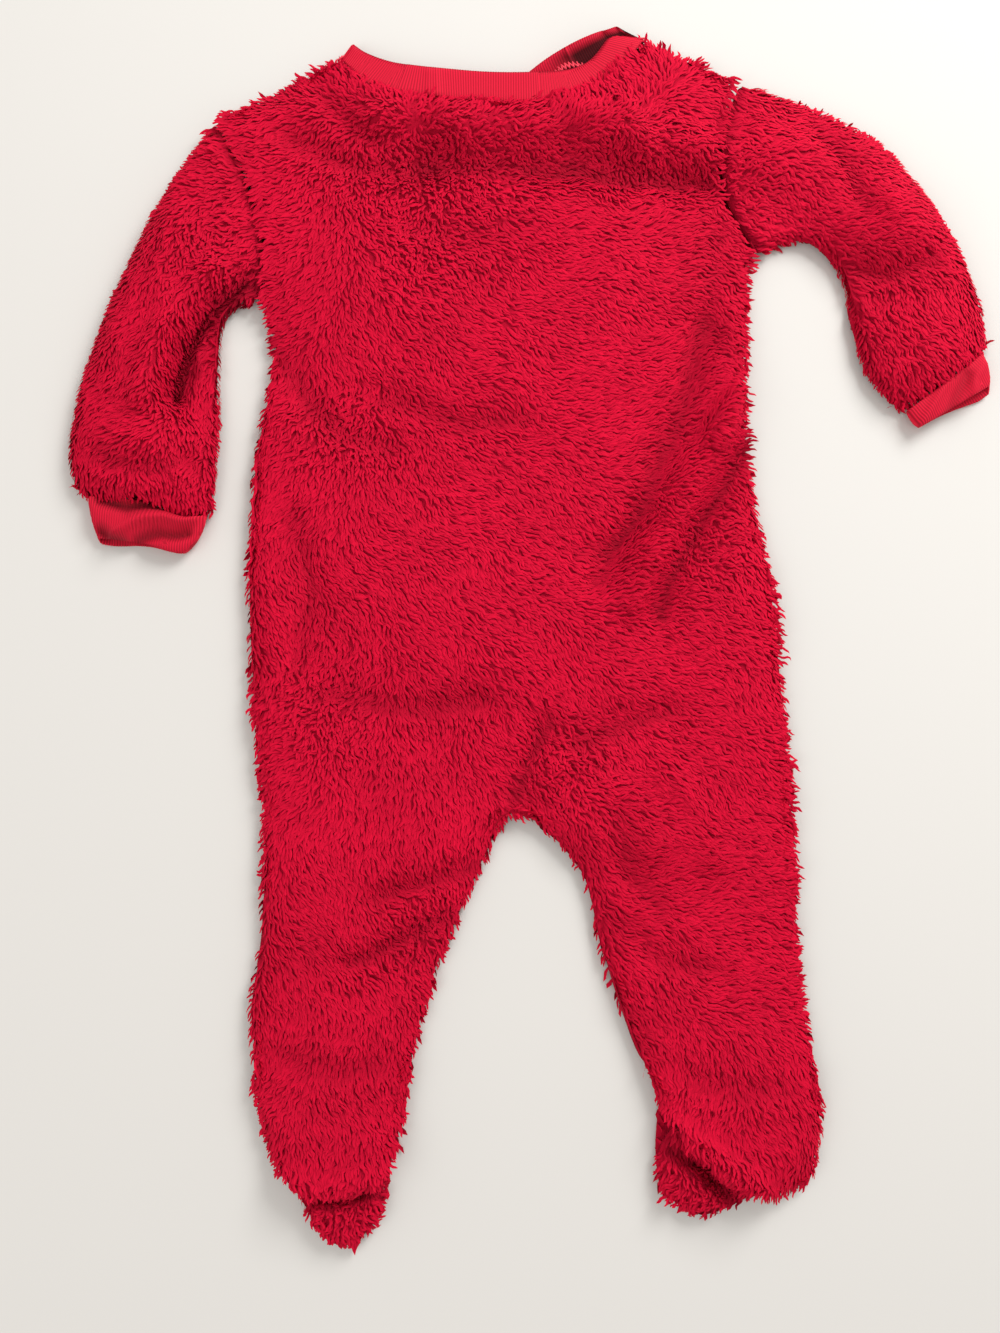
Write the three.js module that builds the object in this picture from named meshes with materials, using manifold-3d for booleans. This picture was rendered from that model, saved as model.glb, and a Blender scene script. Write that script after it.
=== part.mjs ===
// A baby's footed sleeper in plush pile fleece with rib-knit bands, laid out on a table, back upwards.
// Millimetres. +Z is up from the table, +Y runs to the neck and +X to the wearer's right.
// The lower layer (fronts and foot tops) is flat on the table, and the upper layer lies on it in soft folds.
import * as THREE from "three";
import Module from "manifold-3d";
import { mergeVertices } from "three/addons/utils/BufferGeometryUtils.js";

const wasm = await Module();
wasm.setup();

// ---- Driving dimensions ----
const seamGap = 0.3; // between two pieces that are sewn together
const lowerWall = 4; // plush of the lower layer, pressed by the weight above it
const upperWall = 5; // plush of the upper layer, its pile standing
const airBetween = 3; // slack between the layers where nothing is folded
const rimHeight = 3.2; // the upper layer's edge at a seam
const edgeRound = 15; // how far in from an outer seam the cloth takes to come up
const ribWall = 2.2; // rib knit, doubled
const sleeveGap = 0.9; // between a sleeve's end and the body, because the armhole is curved
const footHeight = 8.3; // a sole's top above the lower layer
const plateau = lowerWall + airBetween + upperWall;
const rimTop = lowerWall + seamGap + rimHeight;

// ---- Colours ----
const plush = new THREE.MeshStandardMaterial({ color: 0xbf1430, roughness: 0.95 });
const rib = new THREE.MeshStandardMaterial({ color: 0xdd1a3c, roughness: 0.85 });
const zipTape = new THREE.MeshStandardMaterial({ color: 0xb0122c, roughness: 0.8 });
const zipMetal = new THREE.MeshStandardMaterial({ color: 0xb9b9bd, roughness: 0.35, metalness: 1 });

// ---- Seam lines in plan, each from the neck end down ----
const neckLeft = [-101, 310];
const neckRight = [62, 320];
const shoulderEndLeft = [-167, 275];
const shoulderEndRight = [113, 296];
const underarmLeft = [-143, 176];
const underarmRight = [121, 199];
const crotch = [-9, -95];
const hipLeft = [-140, -95];
const hipRight = [139, -95];
const hemLeft = [[-132, -280], [-118, -291], [-97, -296], [-80, -289], [-72, -281]];
const hemRight = [[108, -290], [128, -294], [146, -290]];

const seams = {
  shoulderLeft: [shoulderEndLeft, [-156, 281], [-132, 291], [-118, 301], neckLeft],
  shoulderRight: [neckRight, [77, 311], [104, 301], shoulderEndRight],
  armholeLeft: [shoulderEndLeft, [-152, 245], [-141, 210], underarmLeft],
  armholeRight: [shoulderEndRight, [101, 262], [104, 228], underarmRight],
  sideLeft: [underarmLeft, [-135, 154], [-141, 122], [-148, 80], [-150, 17], [-147, -40], hipLeft],
  sideRight: [underarmRight, [116, 184], [117, 145], [116, 95], [123, 55], [131, 12], [135, -45], hipRight],
  legOutLeft: [hipLeft, [-141, -130], [-141, -165], [-147, -197], [-143, -240], hemLeft[0]],
  legOutRight: [hipRight, [140, -130], [139, -165], [145, -208], [153, -252], hemRight[2]],
  legInLeft: [crotch, [-19, -113], [-38, -155], [-55, -196], [-62, -240], hemLeft[4]],
  legInRight: [crotch, [9, -110], [25, -122], [32, -143], [37, -172], [54, -221], [77, -263], hemRight[0]],
  sleeveOutLeft: [shoulderEndLeft, [-198, 230], [-219, 187], [-236, 144], [-246, 102], [-246, 82],
    [-240, 71]],
  sleeveInLeft: [underarmLeft, [-157, 173], [-164, 160], [-165, 118], [-166, 86], [-169, 66]],
  sleeveOutRight: [shoulderEndRight, [150, 282], [186, 264], [208, 241], [232, 203], [244, 168], [245, 149]],
  sleeveInRight: [underarmRight, [131, 206], [144, 209], [157, 205], [168, 189], [174, 160],
    [180, 137], [199, 116]],
};

// The neck band: where it is sewn on, and its free edge, for the back and for each side of the zip.
const neckBack = {
  seam: [neckLeft, [-92, 300], [-80, 291], [-57, 287], [-25, 284], [9, 285], [33, 291], [47, 301], [56, 312],
    neckRight],
  edge: [[-96, 318], [-86, 309], [-71, 304], [-57, 302], [-25, 299], [8, 299], [26, 302], [35, 308],
    [41, 316],
    [47, 325]],
};
const zipX = -16; // the zip's line, at the centre front
const zipHalfGap = 5; // the plush stops this far from the zip's line
const zipEnds = { top: 266, bottom: -30 };
const zip = {
  tapeWidth: 11, tapeWall: 0.8, chainWidth: 4.2, chainLow: 2.9,
  sliderWidth: 7, sliderLength: 9, sliderLow: 3, sliderHigh: 5.8,
  pinZ: 1.7, pinRadius: 0.6, holeRadius: 0.8, earWidth: 1, earInset: 0.3,
  pullWidth: 4.4, pullLength: 18, pullWall: 1,
};
const frontNeckLeft = {
  seam: [neckLeft, [-97, 297], [-80, 281], [-50, 270], [zipX - zipHalfGap, 268]],
  edge: [[-96, 318], [-88, 306], [-75, 293], [-51, 284], [zipX - zipHalfGap, 283]],
};
const frontNeckRight = {
  seam: [[zipX + zipHalfGap, 269], [6, 283], [29, 298], [49, 312], neckRight],
  edge: [[zipX + zipHalfGap, 285], [-2, 300], [18, 313], [36, 321], [47, 325]],
};

// ---- Folds of the upper layer: the crest or trough line, its height, and its reach to each side ----
const folds = [
  { name: "neck roll", line: [[-82, 276], [-26, 269], [27, 270], [70, 262], [92, 254]],
    height: 4.5, reach: [13, 11] },
  { name: "under the neck roll", line: [[-45, 254], [-10, 250], [40, 248], [88, 242]],
    height: -2.5, reach: [9, 12] },
  { name: "left shoulder", line: [[-150, 262], [-118, 275], [-96, 272]], height: 3, reach: [16, 14] },
  { name: "left armpit drag", line: [[-136, 168], [-108, 118], [-62, 100]], height: -2.8, reach: [12, 12] },
  { name: "left chest", line: [[-95, 190], [-60, 170]], height: 2.5, reach: [24, 24] },
  { name: "right chest", line: [[20, 200], [70, 180]], height: 2.5, reach: [26, 26] },
  { name: "waist trough, upper", line: [[93, 108], [63, 73], [32, 25]], height: -3, reach: [10, 13] },
  { name: "waist fold", line: [[104, 107], [80, 78], [55, 38], [38, 6]], height: 7, reach: [8, 11] },
  { name: "waist trough, lower", line: [[119, 103], [101, 80], [82, 47], [69, 24], [58, -2]],
    height: -3.5, reach: [11, 8] },
  { name: "hip", line: [[108, 20], [112, -60]], height: 2.5, reach: [22, 22] },
  { name: "belly", line: [[-60, 20], [-20, -10]], height: 3, reach: [32, 32] },
  { name: "left side trough", line: [[-126, 45], [-118, -20]], height: -3, reach: [10, 8] },
  { name: "low belly trough", line: [[-108, -37], [-60, -44], [-25, -42]], height: -2.5, reach: [9, 9] },
  { name: "crotch trough", line: [[-9, -97], [-8, -80], [12, -66], [34, -58], [58, -50]],
    height: -4.5, reach: [8, 8] },
  { name: "right thigh", line: [[30, -92], [60, -110]], height: 3.5, reach: [20, 20] },
  { name: "left thigh", line: [[-60, -105], [-100, -130]], height: 3, reach: [24, 24] },
  { name: "left knee trough", line: [[-44, -158], [-66, -172], [-84, -187]], height: -4, reach: [8, 8] },
  { name: "left knee fold", line: [[-52, -146], [-90, -164], [-112, -166]], height: 2.5, reach: [10, 10] },
  { name: "right knee trough", line: [[62, -138], [98, -147]], height: -2.5, reach: [9, 9] },
  { name: "left shin", line: [[-103, -205], [-100, -262]], height: 4, reach: [22, 22] },
  { name: "right shin", line: [[100, -190], [118, -262]], height: 4, reach: [24, 24] },
  { name: "left sleeve", line: [[-178, 236], [-200, 190], [-208, 140], [-206, 100], [-204, 76]],
    height: 8, reach: [26, 24] },
  { name: "left elbow pleat", line: [[-146, 177], [-163, 160], [-176, 142], [-184, 122]],
    height: -7.5, reach: [12, 7] },
  { name: "left cuff gather", line: [[-240, 68], [-205, 66], [-168, 62]], height: -4, reach: [8, 8] },
  { name: "right sleeve, upper arm", line: [[122, 258], [165, 240], [195, 215]], height: 8, reach: [22, 22] },
  { name: "right sleeve, forearm", line: [[205, 205], [212, 170], [216, 146], [221, 133]],
    height: 8, reach: [24, 24] },
  { name: "right elbow crease", line: [[168, 186], [186, 184], [206, 190]], height: -6, reach: [7, 9] },
  { name: "right cuff gather", line: [[197, 112], [222, 130], [247, 150]], height: -4, reach: [8, 8] },
];

// ---- Plan geometry ----
const curveOf = (points) => new THREE.SplineCurve(points.map(([x, y]) => new THREE.Vector2(x, y)));
const evenly = (points, steps) => curveOf(points).getSpacedPoints(steps);
const byStation = (points, steps) => curveOf(points).getPoints(steps);
const straight = (from, to, shares) =>
  shares.map((t) => new THREE.Vector2(...from).lerp(new THREE.Vector2(...to), t));

// The nearest place on a line of points: how far, and on which side (1 to its left, -1 to its right).
function nearest(line, x, y) {
  let best = { far: Infinity, side: 1 };
  for (let i = 0; i + 1 < line.length; i++) {
    const [a, b] = [line[i], line[i + 1]];
    const [dx, dy] = [b.x - a.x, b.y - a.y];
    const share = THREE.MathUtils.clamp(((x - a.x) * dx + (y - a.y) * dy) / (dx * dx + dy * dy), 0, 1);
    const far = Math.hypot(x - a.x - share * dx, y - a.y - share * dy);
    if (far < best.far) best = { far, side: Math.sign(dx * (y - a.y) - dy * (x - a.x)) || 1 };
  }
  return best;
}

// A four-sided patch of rows between its top, bottom, left and right edges.
function patch(top, bottom, left, right) {
  const [across, down] = [top.length - 1, left.length - 1];
  return left.map((_, j) =>
    top.map((__, i) => {
      const [u, v] = [i / across, j / down];
      const mix = (axis) =>
        (1 - v) * top[i][axis] + v * bottom[i][axis] + (1 - u) * left[j][axis] + u * right[j][axis] -
        (1 - u) * (1 - v) * top[0][axis] - u * (1 - v) * top[across][axis] -
        (1 - u) * v * bottom[0][axis] - u * v * bottom[across][axis];
      return new THREE.Vector2(mix("x"), mix("y"));
    }),
  );
}

// Shares from 0 to 1 that crowd at the start, the end or both, so that a rounded edge gets more columns.
function crowded(steps, atStart, atEnd) {
  return Array.from({ length: steps + 1 }, (_, i) => {
    const t = i / steps;
    if (atStart && atEnd) return 0.4 * t + 0.3 * (1 - Math.cos(Math.PI * t));
    if (atStart) return 0.35 * t + 0.65 * (1 - Math.cos((Math.PI * t) / 2));
    return 0.35 * t + 0.65 * Math.sin((Math.PI * t) / 2);
  });
}

// ---- Feet: each pouch is turned under its leg, and its sole faces up ----
const soles = {
  left: {
    left: [[-114, -250], [-120, -272], [-120, -296], [-110, -314], [-102, -321]],
    right: [[-84, -250], [-77, -272], [-75, -296], [-79, -310], [-92, -322]],
  },
  right: {
    left: [[113, -230], [84, -250], [67, -268], [65, -288], [74, -300]],
    right: [[138, -247], [137, -266], [122, -290], [104, -303], [88, -307]],
  },
};
const outlineOf = ({ left, right }) => {
  const ring = [...evenly(left, 16), ...evenly(right, 16).reverse()];
  return [...ring, ring[0]];
};
const soleOutlines = Object.values(soles).map(outlineOf);

function inside(ring, x, y) {
  let odd = false;
  for (let i = 0; i + 1 < ring.length; i++) {
    const [a, b] = [ring[i], ring[i + 1]];
    if (a.y > y !== b.y > y && x < ((b.x - a.x) * (y - a.y)) / (b.y - a.y) + a.x) odd = !odd;
  }
  return odd;
}
const depthIn = (ring, x, y) => nearest(ring, x, y).far * (inside(ring, x, y) ? 1 : -1);

// ---- Heights ----
const outerSeams = ["shoulderLeft", "shoulderRight", "sideLeft", "sideRight", "legOutLeft", "legOutRight",
  "legInLeft", "legInRight", "sleeveOutLeft", "sleeveInLeft", "sleeveOutRight", "sleeveInRight"];
const outerLines = [...outerSeams.map((name) => seams[name]), hemLeft, hemRight]
  .map((points) => evenly(points, 40));
const foldLines = folds.map((fold) => ({ ...fold, points: evenly(fold.line, 12) }));

// A quarter-round rise from 0 at an edge to 1.
const rise = (far, over) => Math.sqrt(1 - (1 - Math.min(far / over, 1)) ** 2);

// Top of whatever the upper layer lies on: the lower layer, the zip's tapes or a sole.
function under(x, y) {
  const { smoothstep } = THREE.MathUtils;
  const onSole = Math.max(...soleOutlines.map((ring) => smoothstep(depthIn(ring, x, y), -16, -1)));
  const onZip = 1 - smoothstep(Math.abs(x - zipX), 15, 28);
  const zipLength = smoothstep(y, zipEnds.bottom - 30, zipEnds.bottom - 14);
  return lowerWall + Math.max(onSole * (footHeight + 0.7), onZip * zipLength * (zip.tapeWall + 0.6));
}

function upperOuter(x, y) {
  const fromEdge = Math.min(...outerLines.map((line) => nearest(line, x, y).far));
  const folded = foldLines.reduce((sum, fold) => {
    const { far, side } = nearest(fold.points, x, y);
    return sum + fold.height * Math.exp(-((far / fold.reach[side > 0 ? 0 : 1]) ** 2));
  }, 0);
  const free = rimTop + (plateau - rimTop + folded) * rise(fromEdge, edgeRound);
  return Math.max(free, under(x, y) + seamGap + rimHeight);
}
const upperInner = (x, y) => Math.max(upperOuter(x, y) - upperWall, under(x, y) + seamGap);

// ---- Solids ----
function solidMesh(name, material, positions, triangles) {
  let volume = 0;
  for (const [a, b, c] of triangles) {
    volume += positions[a].dot(new THREE.Vector3().crossVectors(positions[b], positions[c]));
  }
  const outwards = volume > 0 ? triangles : triangles.map(([a, b, c]) => [a, c, b]);
  const geometry = new THREE.BufferGeometry().setFromPoints(positions).setIndex(outwards.flat());
  geometry.computeVertexNormals();
  const mesh = new THREE.Mesh(geometry, material);
  mesh.name = name;
  return mesh;
}
const twoTriangles = ([a, b, c, d]) => [[a, b, c], [a, c, d]];

// A panel of cloth: patches that share their edges, with an outer and an inner height over each point.
function panel(name, material, patches, outerHeight, innerHeight) {
  const [plan, found, quads] = [[], new Map(), []];
  const indexOf = (p) => {
    const key = `${p.x.toFixed(3)},${p.y.toFixed(3)}`;
    if (!found.has(key)) {
      found.set(key, plan.length);
      plan.push(p);
    }
    return found.get(key);
  };
  for (const rows of patches) {
    for (let j = 0; j + 1 < rows.length; j++) {
      for (let i = 0; i + 1 < rows[j].length; i++) {
        quads.push([rows[j][i], rows[j + 1][i], rows[j + 1][i + 1], rows[j][i + 1]].map(indexOf));
      }
    }
  }
  const count = plan.length;
  const positions = [
    ...plan.map((p) => new THREE.Vector3(p.x, p.y, outerHeight(p.x, p.y))),
    ...plan.map((p) => new THREE.Vector3(p.x, p.y, innerHeight(p.x, p.y))),
  ];
  const edges = new Set(quads.flatMap((q) => q.map((a, k) => `${a},${q[(k + 1) % 4]}`)));
  const faces = quads.flatMap((q) => [q, [...q].reverse().map((k) => k + count)]);
  for (const edge of edges) {
    const [a, b] = edge.split(",").map(Number);
    if (!edges.has(`${b},${a}`)) faces.push([b, a, a + count, b + count]);
  }
  return solidMesh(name, material, positions, faces.flatMap(twoTriangles));
}

// A tube of cloth: at each station a closed outer ring and a closed inner ring with as many points.
function tube(name, material, stations) {
  const around = stations[0].outer.length;
  const positions = stations.flatMap(({ outer, inner }) => [...outer, ...inner]);
  const at = (station, layer, i) => (2 * station + layer) * around + (i % around);
  const faces = [];
  for (let i = 0; i < around; i++) {
    for (let k = 0; k + 1 < stations.length; k++) {
      faces.push([at(k, 0, i), at(k + 1, 0, i), at(k + 1, 0, i + 1), at(k, 0, i + 1)]);
      faces.push([at(k, 1, i + 1), at(k + 1, 1, i + 1), at(k + 1, 1, i), at(k, 1, i)]);
    }
    const last = stations.length - 1;
    faces.push([at(0, 0, i), at(0, 0, i + 1), at(0, 1, i + 1), at(0, 1, i)]);
    faces.push([at(last, 0, i + 1), at(last, 0, i), at(last, 1, i), at(last, 1, i + 1)]);
  }
  return solidMesh(name, material, positions, faces.flatMap(twoTriangles));
}

// ---- Back: yoke, trunk and two legs in one panel ----
const columns = { leftHalf: 10, rightHalf: 10, shoulderLeft: 5, neck: 11, shoulderRight: 4 };
const rows = { yoke: 8, trunk: 15, leg: 12 };
const halfShares = [
  ...crowded(columns.leftHalf, true, false).map((t) => t / 2),
  ...crowded(columns.rightHalf, false, true).slice(1).map((t) => (1 + t) / 2),
];
const chestLine = straight(underarmLeft, underarmRight, halfShares);
const hipLine = [
  ...straight(hipLeft, crotch, crowded(columns.leftHalf, true, false)),
  ...straight(crotch, hipRight, crowded(columns.rightHalf, false, true)).slice(1),
];
const backTop = [
  ...evenly(seams.shoulderLeft, columns.shoulderLeft),
  ...byStation(neckBack.seam, columns.neck).slice(1),
  ...evenly(seams.shoulderRight, columns.shoulderRight).slice(1),
];
const hipLeftHalf = hipLine.slice(0, columns.leftHalf + 1);
const hipRightHalf = hipLine.slice(columns.leftHalf);
const [sideLeft, sideRight] = [seams.sideLeft, seams.sideRight].map((points) => evenly(points, rows.trunk));
const trunk = patch(chestLine, hipLine, sideLeft, sideRight);
const alongCurve = (points, shares) => shares.map((t) => curveOf(points).getPointAt(t));
const legShares = crowded(columns.leftHalf, true, true);
const back = panel("back", plush, [
  patch(backTop, chestLine, evenly(seams.armholeLeft, rows.yoke), evenly(seams.armholeRight, rows.yoke)),
  trunk,
  patch(hipLeftHalf, alongCurve(hemLeft, legShares),
    evenly(seams.legOutLeft, rows.leg), evenly(seams.legInLeft, rows.leg)),
  patch(hipRightHalf, alongCurve(hemRight, legShares),
    evenly(seams.legInRight, rows.leg), evenly(seams.legOutRight, rows.leg)),
], upperOuter, upperInner);

// ---- Fronts: flat on the table, either side of the zip, down to the ankles ----
const ankleY = -238;
const zipTaper = 10; // below the zip the two edges come together over this length
function centreEdge(side, topY, bottomY, steps) {
  return Array.from({ length: steps + 1 }, (_, i) => {
    const y = topY + ((bottomY - topY) * i) / steps;
    const open = THREE.MathUtils.smoothstep(y, zipEnds.bottom - zipTaper, zipEnds.bottom);
    const below = Math.min(y, zipEnds.bottom);
    const middle = THREE.MathUtils.mapLinear(below, zipEnds.bottom, crotch[1], zipX, crotch[0]);
    return new THREE.Vector2(middle + side * (seamGap / 2 + open * (zipHalfGap - seamGap / 2)), y);
  });
}
// The part of a seam above or below a height, for seams that run down the garment.
function clipped(points, keepAbove, y) {
  const fine = evenly(points, 400);
  return fine.filter((p) => (keepAbove ? p.y >= y : p.y <= y)).map((p) => [p.x, p.y]);
}
const flat = { columns: 6, yoke: 8, trunk: 12, leg: 6 };
const chestY = 187;
function front(name, side) {
  const isLeft = side < 0;
  const neck = isLeft ? frontNeckLeft : frontNeckRight;
  const shoulder = isLeft ? seams.shoulderLeft : seams.shoulderRight;
  const shoulderPoints = evenly(shoulder, 2);
  const neckPoints = byStation(neck.seam, flat.columns);
  const [first, second] = isLeft ? [shoulderPoints, neckPoints] : [neckPoints, shoulderPoints];
  const top = [...first, ...second.slice(1)];
  const across = top.length - 1;
  const shares = Array.from({ length: across + 1 }, (_, i) => i / across);
  const row = (edge, centre) => (isLeft ? straight(edge, centre, shares) : straight(centre, edge, shares));
  const centreTop = isLeft ? neckPoints.at(-1) : neckPoints[0];
  const chestCentre = [zipX + side * zipHalfGap, chestY];
  const hipCentre = [crotch[0] + (side * seamGap) / 2, crotch[1]];
  const chest = row(isLeft ? underarmLeft : underarmRight, chestCentre);
  const hip = row(isLeft ? hipLeft : hipRight, hipCentre);
  const ordered = (outer, centre) => (isLeft ? [outer, centre] : [centre, outer]);
  const legIn = [hipCentre, ...(isLeft ? seams.legInLeft : seams.legInRight).slice(1)];
  const leg = isLeft ? [seams.legOutLeft, legIn] : [legIn, seams.legOutRight];
  const [legA, legB] = leg.map((points) => evenly(clipped(points, true, ankleY), flat.leg));
  return panel(name, plush, [
    patch(top, chest, ...ordered(evenly(isLeft ? seams.armholeLeft : seams.armholeRight, flat.yoke),
      centreEdge(side, centreTop.y, chestY, flat.yoke))),
    patch(chest, hip, ...ordered(evenly(isLeft ? seams.sideLeft : seams.sideRight, flat.trunk),
      centreEdge(side, chestY, crotch[1], flat.trunk))),
    patch(hip, straight([legA.at(-1).x, legA.at(-1).y], [legB.at(-1).x, legB.at(-1).y], shares),
      ...ordered(isLeft ? legA : legB, isLeft ? legB : legA)),
  ], () => lowerWall, () => 0);
}

// ---- Sleeves: one tube each, from the armhole to the cuff ----
const sleeveSteps = { along: 12, across: 10 };
const sleeveShares = crowded(sleeveSteps.across, true, true);
function sleeve(name, outEdge, inEdge, armhole) {
  const [outCurve, inCurve, holeCurve] = [outEdge, inEdge, armhole].map(curveOf);
  const length = outCurve.getLength();
  const stations = Array.from({ length: sleeveSteps.along + 1 }, (_, k) => {
    const v = sleeveGap / length + (1 - sleeveGap / length) * (k / sleeveSteps.along);
    const [a, b] = [outCurve.getPointAt(v), inCurve.getPointAt(v)];
    const ends = [outCurve.getPointAt(0), inCurve.getPointAt(0)];
    const planAt = (share) => {
      const bow = holeCurve.getPointAt(share).sub(ends[0].clone().lerp(ends[1], share));
      return a.clone().lerp(b, share).addScaledVector(bow, (1 - v) ** 2);
    };
    const inset = lowerWall / a.distanceTo(b);
    const narrowed = sleeveShares.map((t) => inset + (1 - 2 * inset) * t);
    const place = (share, height) => {
      const p = planAt(share);
      return new THREE.Vector3(p.x, p.y, height(p.x, p.y));
    };
    const ring = (shares, top, bottom) => [
      ...shares.map((t) => place(t, top)),
      ...[...shares].reverse().map((t) => place(t, bottom)),
    ];
    return {
      outer: ring(sleeveShares, upperOuter, () => 0),
      inner: ring(narrowed, upperInner, () => lowerWall),
    };
  });
  return tube(name, plush, stations);
}

// ---- Cuffs: a flattened rib tube that follows on from each sleeve ----
const cuffs = {
  left: {
    lines: [[[-235, 70], [-171, 65]], [[-234, 62], [-172, 57]],
      [[-232, 54], [-176, 49]], [[-230, 47], [-182, 42]]],
    mouth: [0.15, -3],
  },
  right: {
    lines: [[[201, 115], [243, 147]], [[203, 112], [245, 141]],
      [[205, 109], [247, 135]], [[208, 106], [247, 129]]],
    mouth: [0.85, 4],
  },
};
const cuffRing = 24;
const cuffHeights = [[1.2, 11.2], [0.9, 11.2], [0.4, 10.8], [0, 10]];
function cuff(name, { lines, mouth }) {
  const stations = lines.map(([from, to], k) => {
    const [a, b] = [new THREE.Vector2(...from), new THREE.Vector2(...to)];
    const across = b.clone().sub(a);
    const onward = new THREE.Vector2(across.y, -across.x).normalize();
    const [low, high] = cuffHeights[k];
    const ring = (wall) =>
      Array.from({ length: cuffRing }, (_, i) => {
        const angle = (2 * Math.PI * i) / cuffRing;
        const squared = (value) => Math.sign(value) * Math.abs(value) ** 0.6;
        const share = 0.5 - 0.5 * squared(Math.cos(angle)) * (1 - (2 * wall) / across.length());
        const middle = (low + high) / 2;
        const z = middle + squared(Math.sin(angle)) * ((high - low) / 2 - wall);
        const lip = (k / 3) * Math.abs(mouth[1]) * Math.exp(-(((share - mouth[0]) / 0.3) ** 2));
        const p = a.clone().addScaledVector(across, share).addScaledVector(onward, z < middle ? lip : 0);
        return new THREE.Vector3(p.x, p.y, z);
      });
    return { outer: ring(0), inner: ring(ribWall) };
  });
  return tube(name, rib, stations);
}

// ---- Neck band: a strip sewn round the neckline, open at the zip ----
function neckband() {
  const bandGap = 1.5; // from the seam line, because the panels' edges are cut straight down
  const stretch = ({ seam, edge }, steps, seamHeight, edgeHeight) => {
    const [seamPoints, edgePoints] = [byStation(seam, steps), byStation(edge, steps)];
    return seamPoints.map((s, i) => {
      const e = edgePoints[i];
      const off = e.clone().sub(s).normalize().multiplyScalar(bandGap);
      return [
        new THREE.Vector3(s.x + off.x, s.y + off.y, seamHeight(s.x, s.y, i / steps)),
        new THREE.Vector3(e.x, e.y, edgeHeight(s.x, s.y, i / steps)),
      ];
    });
  };
  const flatHeight = 2;
  const sag = 0.8; // the free edge hangs a little lower than the seam
  const upper = (x, y) => upperOuter(x, y) - upperWall / 2;
  const left = stretch(frontNeckLeft, flat.columns, () => flatHeight, () => flatHeight).reverse();
  const over = stretch(neckBack, columns.neck, upper, (x, y) => upper(x, y) - sag);
  const standing = 3.2; // the right front half of the band stands up a little towards the shoulder
  const standingEdge = (x, y, t) => flatHeight + standing * t * (1.2 - t);
  const right = stretch(frontNeckRight, flat.columns, () => flatHeight, standingEdge).reverse();
  // The back stretch already holds both neck points, so the front ones start one step on.
  const stations = [...left.slice(0, -1), ...over, ...right.slice(1)];
  const positions = stations.flatMap(([seam, edge], k) => {
    const [before, after] = [stations[Math.max(k - 1, 0)], stations[Math.min(k + 1, stations.length - 1)]];
    const along = after[0].clone().add(after[1]).sub(before[0]).sub(before[1]);
    const out = along.cross(edge.clone().sub(seam)).normalize().multiplyScalar(ribWall / 2);
    return [seam.clone().add(out), edge.clone().add(out), edge.clone().sub(out), seam.clone().sub(out)];
  });
  const faces = [[0, 1, 2, 3]];
  for (let k = 0; k + 1 < stations.length; k++) {
    for (let i = 0; i < 4; i++) {
      faces.push([4 * k + i, 4 * k + 4 + i, 4 * k + 4 + ((i + 1) % 4), 4 * k + ((i + 1) % 4)]);
    }
  }
  const last = 4 * (stations.length - 1);
  faces.push([last + 3, last + 2, last + 1, last]);
  return solidMesh("neckband", rib, positions, faces.flatMap(twoTriangles));
}

// ---- Feet ----
const footSteps = { across: 6, along: 7 };
function sole(name, { left, right }) {
  const ring = outlineOf({ left, right });
  const [leftEdge, rightEdge] = [evenly(left, footSteps.along), evenly(right, footSteps.along)];
  const shares = crowded(footSteps.across, true, true);
  const rowBetween = (a, b) => straight([a.x, a.y], [b.x, b.y], shares);
  const [heelRow, toeRow] = [0, footSteps.along].map((k) => rowBetween(leftEdge[k], rightEdge[k]));
  const soleRise = footHeight - rimHeight - seamGap;
  const outer = (x, y) => rimTop + soleRise * rise(Math.max(depthIn(ring, x, y), 0), 10);
  const innerHeight = (x, y) => Math.max(outer(x, y) - lowerWall, lowerWall + seamGap);
  return panel(name, plush, [patch(heelRow, toeRow, leftEdge, rightEdge)], outer, innerHeight);
}
// A foot's top carries on from the front leg, below the ankle seam, to the toes.
const belowAnkle = (seam) => clipped(seam, false, ankleY - seamGap);
const footTops = {
  left: {
    left: [...belowAnkle(seams.legOutLeft), [-120, -297], [-110, -314], [-102, -322]],
    right: [...belowAnkle(seams.legInLeft), [-74, -297], [-79, -311], [-91, -323]],
  },
  right: {
    left: [...belowAnkle(seams.legInRight).filter(([x]) => x < 66), [63, -272], [66, -290], [80, -304]],
    right: [...belowAnkle(seams.legOutRight), [128, -295], [104, -304], [89, -309]],
  },
};
function footTop(name, { left, right }) {
  const [leftEdge, rightEdge] = [evenly(left, footSteps.along), evenly(right, footSteps.along)];
  const shares = Array.from({ length: footSteps.across + 1 }, (_, i) => i / footSteps.across);
  const rowBetween = (a, b) => straight([a.x, a.y], [b.x, b.y], shares);
  const [ankleRow, toeRow] = [0, footSteps.along].map((k) => rowBetween(leftEdge[k], rightEdge[k]));
  return panel(name, plush, [patch(ankleRow, toeRow, leftEdge, rightEdge)], () => lowerWall, () => 0);
}

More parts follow.
